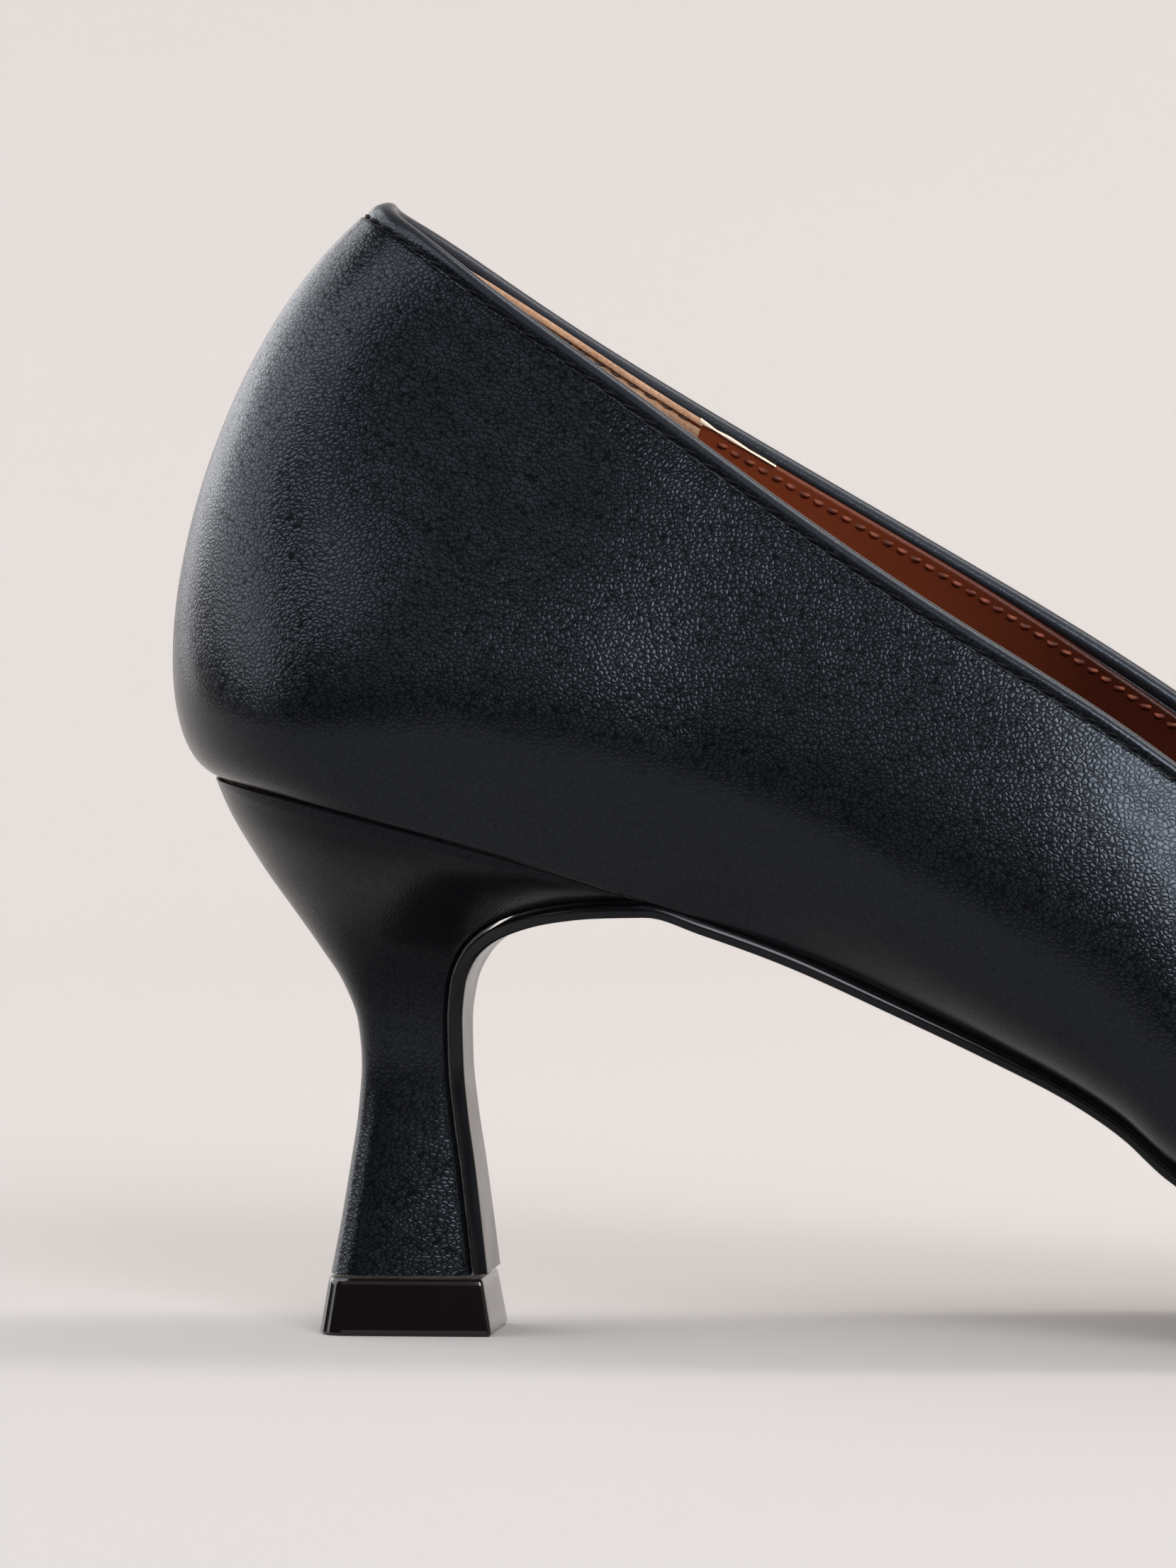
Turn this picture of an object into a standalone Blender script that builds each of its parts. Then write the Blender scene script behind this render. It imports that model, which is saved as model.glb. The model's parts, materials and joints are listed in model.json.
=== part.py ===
"""A women's court shoe with a waisted kitten heel and a flat leather bow at the throat.

One right shoe, standing empty on its heel tip and forefoot. +X runs from heel to toe, -Y is the
outer side of the foot, +Z is up, and the floor is z = 0. The upper is one hollow shell: rows of a
station table give its feather edge and its topline, and each section between them is a cubic curve.
"""

import math

import bmesh
import bpy
import numpy as np
from mathutils import Matrix, Vector
from mathutils.bvhtree import BVHTree

# Driving sizes, in metres.
LENGTH = 0.245
BALL_WIDTH = 0.078
HEEL_HEIGHT = 0.055
BACK_TOP = 0.1108
THROAT_TOP = 0.0398
WALL = 0.0019
SOLE_THIN = 0.0013
SOLE_THICK = 0.0025
INSOLE_THICK = 0.0020
TIP_HEIGHT = 0.0056
GAP = 0.0003

# How finely the CAD surfaces are cut.
PER_STATION = 3
UP_WALL = 11
HEEL_LEVELS = 20
HEEL_ROUND = 28

# Stations round the shoe from the middle of the back to the toe. Feather edge and topline are in
# per cent: along of LENGTH, out of half BALL_WIDTH, up of the rise from THROAT_TOP to BACK_TOP.
# Tuck is how the wall leaves the feather edge and lean how it reaches the topline: an angle in
# degrees above, or below, the outward direction, and a handle in per cent of the section's chord.
STATION_COLUMNS = (
    "foot_along", "foot_outer", "foot_inner", "top_along", "top_out", "top_up_outer", "top_up_inner",
    "tuck_angle", "tuck_reach", "lean_angle", "lean_reach",
)
STATIONS = (
    (1.67, 0.0, 0.0, 8.16, 0.0, 100.0, 100.0, 21, 17.2, 38, 41.2),
    (2.85, 30.0, 29.5, 9.80, 17.4, 97.2, 96.7, 23, 18.0, 44, 40.0),
    (6.12, 52.0, 51.3, 13.47, 31.3, 88.4, 87.7, 42, 26.0, 68, 38.5),
    (11.0, 60.3, 59.0, 18.0, 40.8, 77.7, 77.2, 68, 34.8, 70, 58.5),
    (18.4, 58.0, 55.4, 24.5, 51.9, 62.0, 63.4, 64, 34.0, 68.6, 69.0),
    (26.9, 52.8, 48.2, 31.8, 62.2, 45.5, 48.4, 37, 34.7, 69.4, 69.0),
    (36.7, 54.6, 48.5, 38.8, 69.2, 30.6, 33.3, 13.4, 36.2, 70.4, 64.2),
    (45.7, 70.5, 62.8, 44.5, 69.7, 17.0, 19.8, 27.3, 30.5, 73.5, 54.5),
    (53.9, 88.0, 80.8, 49.8, 61.3, 7.3, 9.0, 47.6, 28.0, 64.5, 44.7),
    (62.0, 94.5, 91.5, 54.7, 47.5, 0.9, 1.8, 57.7, 29.3, 50, 40.3),
    (71.4, 86.3, 87.6, 59.0, 29.5, -1.2, -1.2, 62, 28.0, 32, 42.0),
    (82.9, 57.9, 64.1, 61.2, 16.5, -0.2, -0.2, 62, 21.5, 21, 46.0),
    (93.1, 28.2, 35.9, 61.96, 7.5, 1.1, 1.1, 60, 16.0, 15.4, 49.0),
    (97.9, 10.8, 19.2, 62.06, 3.2, 1.35, 1.35, 58, 13.8, 14.2, 50.0),
    (99.4, -3.8, 3.8, 62.06, -0.6, 1.4, 1.4, 58, 13.2, 14, 50.0),
)

TOE_STATION = len(STATIONS) - 1

# Height of the feather edge over the floor: along in per cent of LENGTH, up in per cent of
# HEEL_HEIGHT. The rows at the ball are level so that the forefoot has a flat tread.
TREAD_UP = 100 * (SOLE_THICK + GAP) / HEEL_HEIGHT
FOOT_COLUMNS = ("along", "up")
FOOT_LINE = (
    (0.0, 100.4), (1.67, 100.0), (4.57, 98.2), (8.73, 94.0), (12.8, 89.4), (16.5, 84.7), (20.0, 79.7),
    (25.1, 71.7), (30.3, 61.3), (33.9, 53.8), (36.7, 47.6), (38.9, 41.4), (40.9, 33.8), (44.9, 22.3),
    (49.0, 13.7), (53.1, 8.2), (57.1, 5.6), (60.0, TREAD_UP), (72.5, TREAD_UP), (78.0, 5.9),
    (86.0, 8.4), (93.0, 11.9), (100.0, 16.6),
)

# The heel from its foot up to the seat. Back and front are points of the side view, along in per
# cent of LENGTH and up in per cent of HEEL_HEIGHT; half and breast are half widths at the middle
# and at the breast in per cent of half BALL_WIDTH; turn is the share of the section taken up by
# the rounded back, and square how boxy that rounding is.
HEEL_COLUMNS = ("back_along", "back_up", "front_along", "front_up", "half", "breast", "turn", "square")
HEEL = (
    (6.37, 10.7, 12.20, 10.7, 18.6, 15.6, 0.34, 3.0),
    (6.76, 20.0, 11.95, 20.0, 17.0, 14.8, 0.38, 2.9),
    (7.12, 30.0, 11.67, 30.0, 15.2, 13.6, 0.42, 2.8),
    (7.42, 39.3, 11.37, 39.3, 13.7, 12.8, 0.45, 2.6),
    (7.55, 48.0, 11.18, 48.0, 13.0, 12.1, 0.48, 2.5),
    (7.40, 55.4, 11.14, 55.6, 13.8, 12.8, 0.50, 2.4),
    (6.80, 62.6, 11.31, 62.8, 17.2, 15.8, 0.50, 2.3),
    (5.92, 68.7, 11.85, 68.5, 22.8, 20.8, 0.50, 2.2),
    (4.96, 74.8, 12.78, 72.7, 30.0, 27.4, 0.50, 2.1),
    (3.98, 81.0, 14.10, 75.7, 38.6, 35.2, 0.50, 2.1),
    (3.06, 87.2, 15.75, 77.8, 47.4, 43.0, 0.49, 2.0),
    (2.24, 93.6, 17.70, 79.0, 55.0, 49.8, 0.49, 2.0),
    (1.67, 99.5, 19.80, 79.5, 60.3, 55.6, 0.49, 2.0),
)

# The tip's rings from the floor up: along in per cent of LENGTH, half in per cent of half
# BALL_WIDTH and up in per cent of TIP_HEIGHT.
TIP_COLUMNS = ("back_along", "front_along", "half", "up")
TIP = (
    (6.12, 13.00, 20.6, 0.0),
    (6.02, 13.08, 21.0, 6.0),
    (6.36, 12.72, 19.2, 95.0),
    (6.41, 12.65, 18.8, 100.0),
)

# The bow is a strap folded into two loops and pinched by a band. Loop rows run from the middle of
# the top layer round one end to the middle of the lower layer, as shares: out of half BOW_SPAN,
# lift of BOW_LIFT and wide of BOW_STRAP.
BOW_SPAN = 0.050
BOW_STRAP = 0.021
BOW_LIFT = 0.0078
BOW_LEATHER = 0.0012
BOW_KNOT = 0.0100
BOW_FROM_THROAT = 0.0110
BOW_DROOP = 0.6
LOOP_COLUMNS = ("out", "lift", "wide")
LOOP = (
    (0.00, 0.34, 0.46), (0.24, 0.38, 0.49), (0.44, 0.78, 0.86), (0.68, 1.00, 1.00), (0.87, 0.88, 1.00),
    (0.97, 0.62, 1.00), (1.00, 0.38, 1.00), (0.96, 0.14, 1.00), (0.84, 0.02, 1.00), (0.62, 0.00, 1.00),
    (0.43, 0.00, 0.88), (0.24, 0.00, 0.51), (0.00, 0.00, 0.46),
)

COLOURS = {
    "black_leather": (0.016, 0.016, 0.018, 0.45),
    "sole_leather": (0.010, 0.010, 0.011, 0.25),
    "tip_plastic": (0.008, 0.007, 0.007, 0.12),
    "sock_leather": (0.105, 0.042, 0.022, 0.45),
}


def columns(names, rows):
    """A table's rows as one array per named column."""
    return dict(zip(names, np.array(rows, float).T))


def smooth(knots, values, at):
    """Piecewise cubic through the values that never overshoots them, so level rows stay level."""
    knots, values = np.asarray(knots, float), np.asarray(values, float)
    step = np.diff(knots)
    rise = np.diff(values) / step
    slope = np.concatenate([rise[:1], np.zeros(len(knots) - 2), rise[-1:]])
    same = rise[:-1] * rise[1:] > 0
    before, after = 2 * step[1:] + step[:-1], step[1:] + 2 * step[:-1]
    safe = np.where(same, rise[:-1], 1.0), np.where(same, rise[1:], 1.0)
    slope[1:-1] = np.where(same, (before + after) / (before / safe[0] + after / safe[1]), 0.0)
    i = np.clip(np.searchsorted(knots, at) - 1, 0, len(step) - 1)
    t = (at - knots[i]) / step[i]
    near = (1 + 2 * t) * (1 - t) ** 2 * values[i] + t * (1 - t) ** 2 * step[i] * slope[i]
    return near + t * t * (3 - 2 * t) * values[i + 1] + t * t * (t - 1) * step[i] * slope[i + 1]


def ring_spline(knots, values, at):
    """Periodic cubic spline, smooth to the second derivative, through one value per knot."""
    step = np.diff(knots)
    count = len(step)
    before, after = np.roll(step, 1), step
    rise = (np.roll(values, -1) - values) / step
    matrix = np.zeros((count, count))
    index = np.arange(count)
    matrix[index, index] = 2 * (before + after)
    matrix[index, index - 1] += before
    matrix[index, (index + 1) % count] += after
    bend = np.linalg.solve(matrix, 6 * (rise - np.roll(rise, 1)))
    i = np.clip(np.searchsorted(knots, at % knots[-1], side="right") - 1, 0, count - 1)
    j = (i + 1) % count
    t = at % knots[-1] - knots[i]
    slope = rise[i] - step[i] * (2 * bend[i] + bend[j]) / 6
    return values[i] + t * (slope + t * (bend[i] / 2 + t * (bend[j] - bend[i]) / (6 * step[i])))


def foot_height(x):
    """Height of the feather edge at x."""
    line = columns(FOOT_COLUMNS, FOOT_LINE)
    return HEEL_HEIGHT / 100 * smooth(line["along"] * LENGTH / 100, line["up"], x)


def foot_slant(x):
    """Length of the feather edge per unit of x, from its slope."""
    small = 1e-4
    slope = (foot_height(x + small) - foot_height(x - small)) / (2 * small)
    return np.sqrt(1 + slope * slope)


def station_ring():
    """Every station value as a closed list: back, outer side, toe, inner side."""
    side = columns(STATION_COLUMNS, STATIONS)
    ring = {name: np.concatenate([value, value[-2:0:-1]]) for name, value in side.items()}
    half = BALL_WIDTH / 200
    outer, inner, top = side["foot_outer"], side["foot_inner"], side["top_out"]
    up = np.concatenate([side["top_up_outer"], side["top_up_inner"][-2:0:-1]])
    ring["foot_x"] = ring["foot_along"] * LENGTH / 100
    ring["foot_y"] = half * np.concatenate([-outer, inner[-2:0:-1]])
    ring["top_x"] = ring["top_along"] * LENGTH / 100
    ring["top_y"] = half * np.concatenate([-top, top[-2:0:-1]])
    ring["top_z"] = THROAT_TOP + (BACK_TOP - THROAT_TOP) * up / 100
    return ring


def ring_knots(ring):
    """Knot values: the mean way along the feather edge and the topline."""
    way = 0
    for end in ("foot", "top"):
        x, y = ring[end + "_x"], ring[end + "_y"]
        way = way + np.hypot(np.roll(x, -1) - x, np.roll(y, -1) - y) / 2
    return np.concatenate([[0], np.cumsum(way)])


def edge_frames(ring, knots, at, end):
    """Points of one edge and its outward direction in plan."""
    x, y = (ring_spline(knots, ring[f"{end}_{axis}"], at) for axis in "xy")
    z = foot_height(x) if end == "foot" else ring_spline(knots, ring["top_z"], at)
    small = 1e-5 * knots[-1]
    ahead = [ring_spline(knots, ring[f"{end}_{axis}"], at + small) for axis in "xy"]
    behind = [ring_spline(knots, ring[f"{end}_{axis}"], at - small) for axis in "xy"]
    run = np.array(ahead) - np.array(behind)
    run /= np.hypot(run[0], run[1])
    return np.stack([x, y, z], 1), np.stack([run[1], -run[0], 0 * x], 1)


def unit(vectors):
    return vectors / np.linalg.norm(vectors, axis=-1, keepdims=True)


def wall_grid(around, up):
    """Outer surface of the upper: one cubic per place round the shoe, from feather edge to topline.

    Around counts stations, from 0 at the back over the outer side to the toe and back again.
    """
    ring = station_ring()
    knots = ring_knots(ring)
    at = np.interp(around, np.arange(len(knots)), knots)
    foot, foot_out = edge_frames(ring, knots, at, "foot")
    top, top_out = edge_frames(ring, knots, at, "top")
    chord = top - foot
    size = np.linalg.norm(chord, axis=1, keepdims=True)

    def handle(name, out):
        angle = np.radians(ring_spline(knots, ring[name + "_angle"], at))[:, None]
        reach = ring_spline(knots, ring[name + "_reach"], at)[:, None] / 100 * size
        rise = unit(chord - np.sum(chord * out, 1, keepdims=True) * out)
        sign = 1 if name == "tuck" else -1
        return reach * (np.cos(angle) * out + sign * np.sin(angle) * rise)

    low, high = foot + handle("tuck", foot_out), top + handle("lean", top_out)
    t = np.asarray(up)[None, :, None]
    foot, low, high, top = (points[:, None, :] for points in (foot, low, high, top))
    s = 1 - t
    return s ** 3 * foot + 3 * t * s * s * low + 3 * t * t * s * high + t ** 3 * top


def add_object(name, points, faces, colour, wall=0.0, offset=-1):
    """A closed mesh object, or an open sheet thickened inwards by a Solidify of this wall."""
    mesh = bpy.data.meshes.new(name)
    mesh.from_pydata([tuple(map(float, p)) for p in points], [], [tuple(map(int, f)) for f in faces])
    body = bmesh.new()
    body.from_mesh(mesh)
    if not wall:
        bmesh.ops.recalc_face_normals(body, faces=body.faces)
    body.to_mesh(mesh)
    body.free()
    obj = bpy.data.objects.new(name, mesh)
    bpy.context.scene.collection.objects.link(obj)
    if wall:
        thick = obj.modifiers.new("wall", "SOLIDIFY")
        thick.thickness = wall
        thick.offset = offset
        thick.use_even_offset = True
    mesh.polygons.foreach_set("use_smooth", [True] * len(mesh.polygons))
    mesh.set_sharp_from_angle(angle=math.radians(40))
    mesh.materials.append(material(colour))
    return obj


def material(name):
    found = bpy.data.materials.get(name)
    if found:
        return found
    made = bpy.data.materials.new(name)
    made.use_nodes = True
    red, green, blue, rough = COLOURS[name]
    shader = made.node_tree.nodes["Principled BSDF"]
    shader.inputs["Base Color"].default_value = (red, green, blue, 1)
    shader.inputs["Roughness"].default_value = rough
    made.diffuse_color = (red, green, blue, 1)
    return made


def grid_faces(rows, cols, wrap_rows=False, wrap_cols=False):
    """Quads of a grid of points numbered row by row."""
    steps = np.arange(rows - (not wrap_rows)), np.arange(cols - (not wrap_cols))
    i, j = (index.ravel() for index in np.meshgrid(*steps, indexing="ij"))
    i1, j1 = (i + 1) % rows, (j + 1) % cols
    return np.stack([i * cols + j, i1 * cols + j, i1 * cols + j1, i * cols + j1], 1)


def build_upper():
    around = np.arange(2 * TOE_STATION * PER_STATION) / PER_STATION
    up = np.linspace(0, 1, UP_WALL + 1) ** 1.15
    grid = wall_grid(around, up)
    faces = grid_faces(len(around), UP_WALL + 1, wrap_rows=True)
    return add_object("upper", grid.reshape(-1, 3), faces, "black_leather", wall=WALL)


def plate(name, left, right, thick_left, thick_right, colour):
    """A plate between a left and a right rail of its lower face and the same two of its upper face."""
    rows = len(left)
    points = np.concatenate([left, right, thick_left, thick_right])
    faces = []
    for i in range(rows - 1):
        a, b, c, d = i, i + rows, i + 2 * rows, i + 3 * rows
        faces += [(a, a + 1, b + 1, b), (c, d, d + 1, c + 1), (a, c, c + 1, a + 1), (b, b + 1, d + 1, d)]
    faces += [(0, rows, 3 * rows, 2 * rows), (rows - 1, 3 * rows - 1, 4 * rows - 1, 2 * rows - 1)]
    return add_object(name, points, faces, colour)


def heel_front(at):
    """Breast curve of the heel: points, outward normals in the side view, and half widths."""
    rows = columns(HEEL_COLUMNS, HEEL)
    level = np.linspace(0, 1, len(HEEL))

    def place(t):
        x = smooth(level, rows["front_along"], t) * LENGTH / 100
        return np.stack([x, smooth(level, rows["front_up"], t) * HEEL_HEIGHT / 100], 1)

    run = place(np.minimum(at + 1e-3, 1)) - place(np.maximum(at - 1e-3, 0))
    run = unit(run)
    half = smooth(level, rows["breast"], at) * BALL_WIDTH / 200
    return place(at), np.stack([run[:, 1], -run[:, 0]], 1), half


def heel_ring(back, front, half, breast, turn, square, count):
    """Closed section between two side-view points: a rounded back, sides and a flat breast."""
    q = np.linspace(-1, 1, count)
    bend = 0.62
    angle = np.clip(np.abs(q) / bend, 0, 1) * math.pi / 2
    along = turn * (1 - np.cos(angle) ** (2 / square))
    side = np.sin(angle) ** (2 / square)
    past = np.clip((np.abs(q) - bend) / (1 - bend), 0, 1)
    along = along + (1 - turn) * past
    wide = half * side + (breast - half) * past ** 2
    middle = back[None, :] + along[:, None] * (front - back)[None, :]
    return np.stack([middle[:, 0], np.sign(q) * wide, middle[:, 1]], 1)


def stack(name, rings, colour):
    """Rings joined one over the other, with a strip of quads closing each end."""
    count = len(rings[0])
    points = np.concatenate(rings)
    faces = [tuple(f) for f in grid_faces(len(rings), count, wrap_cols=True)]
    for first in (0, (len(rings) - 1) * count):
        for k in range(count // 2 - 1):
            faces.append((first + k, first + k + 1, first + count - 2 - k, first + count - 1 - k))
    return add_object(name, points, faces, colour)


def build_heel():
    rows = columns(HEEL_COLUMNS, HEEL)
    level = np.linspace(0, 1, len(HEEL))
    rings = []
    for at in np.linspace(0, 1, HEEL_LEVELS):
        value = {name: smooth(level, column, np.array([at]))[0] for name, column in rows.items()}
        back = np.array([value["back_along"] * LENGTH, value["back_up"] * HEEL_HEIGHT]) / 100
        front = np.array([value["front_along"] * LENGTH, value["front_up"] * HEEL_HEIGHT]) / 100
        half, breast = value["half"] * BALL_WIDTH / 200, value["breast"] * BALL_WIDTH / 200
        ring = heel_ring(back, front, half, breast, value["turn"], value["square"], HEEL_ROUND)
        if at == 1:
            ring[:, 2] = foot_height(ring[:, 0]) - GAP * foot_slant(ring[:, 0])
        rings.append(ring)
    return stack("heel", rings, "black_leather")


def build_tip():
    rows = columns(TIP_COLUMNS, TIP)
    rings = []
    for i in range(len(TIP)):
        up = rows["up"][i] * TIP_HEIGHT / 100
        back = np.array([rows["back_along"][i] * LENGTH / 100, up])
        front = np.array([rows["front_along"][i] * LENGTH / 100, up])
        half = rows["half"][i] * BALL_WIDTH / 200
        rings.append(heel_ring(back, front, half, half * 0.97, 0.30, 3.4, HEEL_ROUND))
    return stack("heel_tip", rings, "tip_plastic")


def foot_sides(inset=0.0):
    """Feather edge points paired across the shoe, from the back to the toe, moved in by an inset."""
    side = np.arange(TOE_STATION * PER_STATION + 1) / PER_STATION
    around = np.concatenate([side, 2 * TOE_STATION - side])
    ring = station_ring()
    knots = ring_knots(ring)
    edge, out = edge_frames(ring, knots, np.interp(around, np.arange(len(knots)), knots), "foot")
    edge = edge - inset * out
    return edge[:len(side)], edge[len(side):]


def build_outsole():
    """Flap rows down the heel breast, then a row per pair of feather points as far as the toe."""
    at = np.linspace(0, 1, 22)
    point, normal, half = heel_front(at)
    rails = {key: [] for key in ("left", "right", "thick_left", "thick_right")}
    for p, n, w in zip(point, normal, half):
        for key, depth in (("thick_", GAP), ("", GAP + SOLE_THIN)):
            x, z = p + depth * n
            rails[key + "left"].append((x, -w, z))
            rails[key + "right"].append((x, w, z))
    first_row = point[-1, 0] + 0.004
    outer, inner = foot_sides()
    for left, right in zip(outer, inner):
        if min(left[0], right[0]) < first_row:
            continue
        for key, depth in (("thick_", 0), ("", 1)):
            for side, edge in (("left", left), ("right", right)):
                grow = np.clip((edge[0] / LENGTH - 0.42) / 0.16, 0, 1)
                thick = SOLE_THIN + (SOLE_THICK - SOLE_THIN) * grow * grow * (3 - 2 * grow)
                drop = (GAP + depth * thick) * foot_slant(edge[:1])[0]
                rails[key + side].append((edge[0], edge[1], edge[2] - drop))
    return plate("outsole", *(np.array(rail) for rail in rails.values()), "sole_leather")


def build_insole():
    """A board just inside the shell's lower edge, following the feather line."""
    rails = []
    for depth in (GAP, GAP + INSOLE_THICK):
        for edge in foot_sides(WALL + GAP):
            edge = edge[1:-1]
            edge[:, 2] = foot_height(edge[:, 0]) + depth * foot_slant(edge[:, 0])
            rails.append(edge)
    return plate("insole", *rails, "sock_leather")


def bow_frame(upper):
    """A function from the bow's own along, across and height values to points over the vamp.

    Height 0 is the middle of the lower layer, which clears the vamp by the band and two gaps and
    droops to the sides less than the vamp falls away.
    """
    sheet = upper.data
    tree = BVHTree.FromPolygons([v.co for v in sheet.vertices], [p.vertices for p in sheet.polygons])
    ring = station_ring()
    middle_x = ring["top_x"][TOE_STATION] + BOW_FROM_THROAT
    middle_y = ring["top_y"][TOE_STATION]

    def vamp(x, y):
        return tree.ray_cast(Vector((x, y, 1)), Vector((0, 0, -1)))[0].z

    step = BOW_STRAP / 3
    pitch = math.atan2(vamp(middle_x - step, middle_y) - vamp(middle_x + step, middle_y), 2 * step)
    crown = vamp(middle_x, middle_y)
    lift = 2 * GAP + 1.5 * BOW_LEATHER

    def place(along, across, height):
        fall = np.array([crown - vamp(middle_x, middle_y + y) for y in np.ravel(across)])
        base = crown + lift / math.cos(pitch) - BOW_DROOP * fall.reshape(np.shape(across))
        x = middle_x + along * math.cos(pitch) + height * math.sin(pitch)
        z = base - along * math.sin(pitch) + height * math.cos(pitch)
        return np.stack([x, middle_y + across, z], -1)

    return place


def build_bow(upper):
    place = bow_frame(upper)
    rows = columns(LOOP_COLUMNS, LOOP)
    out = np.concatenate([rows["out"], -rows["out"][-2:0:-1]])
    lift, wide = (np.concatenate([rows[k], rows[k][-2:0:-1]]) for k in ("lift", "wide"))
    across, height = out * BOW_SPAN / 2, lift * BOW_LIFT
    way = np.hypot(np.roll(across, -1) - across, np.roll(height, -1) - height)
    knots = np.concatenate([[0], np.cumsum(way)])
    at = np.linspace(0, knots[-1], 64, endpoint=False)
    across, height, wide = (ring_spline(knots, column, at)[:, None] for column in (across, height, wide))
    over = np.linspace(-1, 1, 7)[None, :]
    grid = place(over * wide * BOW_STRAP / 2, across + 0 * over, height + 0 * over)
    faces = grid_faces(len(at), 7, wrap_rows=True)
    add_object("bow_loops", grid.reshape(-1, 3), faces, "black_leather", wall=BOW_LEATHER, offset=0)

    clear = BOW_LEATHER + GAP
    low, high = -clear, rows["lift"][0] * BOW_LIFT + clear + 0.0003
    half = rows["wide"][1] * BOW_STRAP / 2 + clear
    turn = np.linspace(0, 2 * math.pi, 32, endpoint=False)[:, None]
    over = np.linspace(-1, 1, 7)[None, :]
    round_x = np.sign(np.cos(turn)) * np.abs(np.cos(turn)) ** 0.5
    round_z = np.sign(np.sin(turn)) * np.abs(np.sin(turn)) ** 0.5
    along = round_x * half + 0 * over
    height = (low + high) / 2 + round_z * (high - low) / 2 + 0.0006 * (1 - over ** 2) * (round_z > 0)
    grid = place(along, over * BOW_KNOT / 2 + 0 * turn, height)
    faces = grid_faces(32, 7, wrap_rows=True)
    add_object("bow_knot", grid.reshape(-1, 3), faces, "black_leather", wall=BOW_LEATHER, offset=0)


def centre_on_floor():
    """Moves every mesh so that the origin is on the floor under the middle of the shoe's box."""
    bpy.context.view_layer.update()
    graph = bpy.context.evaluated_depsgraph_get()
    corners = []
    for obj in bpy.context.scene.objects:
        corners += [v.co.copy() for v in obj.evaluated_get(graph).to_mesh().vertices]
    low, high = (Vector([pick(c[k] for c in corners) for k in range(3)]) for pick in (min, max))
    shift = Vector(((low.x + high.x) / -2, (low.y + high.y) / -2, -low.z))
    for obj in bpy.context.scene.objects:
        obj.data.transform(Matrix.Translation(shift))
    print("moved by", [round(1000 * value, 3) for value in shift], "mm")


for old in list(bpy.data.objects):
    bpy.data.objects.remove(old, do_unlink=True)
shell = build_upper()
build_insole()
build_outsole()
build_heel()
build_tip()
build_bow(shell)
centre_on_floor()
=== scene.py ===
# %% [markdown]
# # A black bow court shoe on a kitten heel
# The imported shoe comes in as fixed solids, and this lesson dresses them: leather, lining, suede,
# thread, sole and tip are each worked out as a surface, then given the finish of the real material.
# The solids stay where they are. A dressed piece stands for its solid and keeps the solid's form.

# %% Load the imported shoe
import json
import math

import bpy
import numpy as np
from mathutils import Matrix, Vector
from mathutils.bvhtree import BVHTree

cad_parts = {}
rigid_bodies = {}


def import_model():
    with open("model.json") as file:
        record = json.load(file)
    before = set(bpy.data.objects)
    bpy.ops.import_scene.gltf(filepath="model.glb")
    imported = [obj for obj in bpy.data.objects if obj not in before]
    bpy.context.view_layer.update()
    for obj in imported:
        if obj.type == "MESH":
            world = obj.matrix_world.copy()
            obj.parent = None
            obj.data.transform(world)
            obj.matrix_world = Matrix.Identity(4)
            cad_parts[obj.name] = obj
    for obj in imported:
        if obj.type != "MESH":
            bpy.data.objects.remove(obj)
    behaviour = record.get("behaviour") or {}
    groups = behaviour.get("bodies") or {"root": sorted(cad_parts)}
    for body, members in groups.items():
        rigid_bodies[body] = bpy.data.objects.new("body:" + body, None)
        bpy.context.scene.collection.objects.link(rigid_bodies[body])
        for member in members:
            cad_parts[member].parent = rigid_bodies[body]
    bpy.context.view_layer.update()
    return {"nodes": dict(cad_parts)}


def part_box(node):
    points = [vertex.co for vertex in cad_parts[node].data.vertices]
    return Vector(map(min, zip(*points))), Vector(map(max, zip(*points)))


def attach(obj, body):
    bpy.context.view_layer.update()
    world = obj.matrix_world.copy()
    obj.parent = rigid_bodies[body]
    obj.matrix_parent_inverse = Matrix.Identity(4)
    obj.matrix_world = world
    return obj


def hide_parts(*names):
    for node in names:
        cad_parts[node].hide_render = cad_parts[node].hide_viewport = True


for old in list(bpy.data.objects):
    bpy.data.objects.remove(old, do_unlink=True)

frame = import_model()
print("solids:", sorted(frame["nodes"]))

# %% [markdown]
# ## The sizes of the shoe
# The last gives the whole upper its shape. Its tables are the ones the solids were made from, so
# the fine surfaces here lie exactly on the coarse solids. Stations run from the middle of the back
# along the outer side to the toe. Per cent keeps the shape apart from the size.

# %% Named sizes in metres, and the stations of the last
MM = 0.001
LENGTH = 245 * MM
BALL_WIDTH = 78 * MM
HEEL_HEIGHT = 55 * MM
BACK_TOP = 110.8 * MM
THROAT_TOP = 39.8 * MM
WALL = 1.9 * MM
SOLE_THIN = 1.3 * MM
SOLE_THICK = 2.5 * MM
INSOLE_THICK = 2.0 * MM
TIP_HEIGHT = 5.6 * MM
GAP = 0.3 * MM

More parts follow.
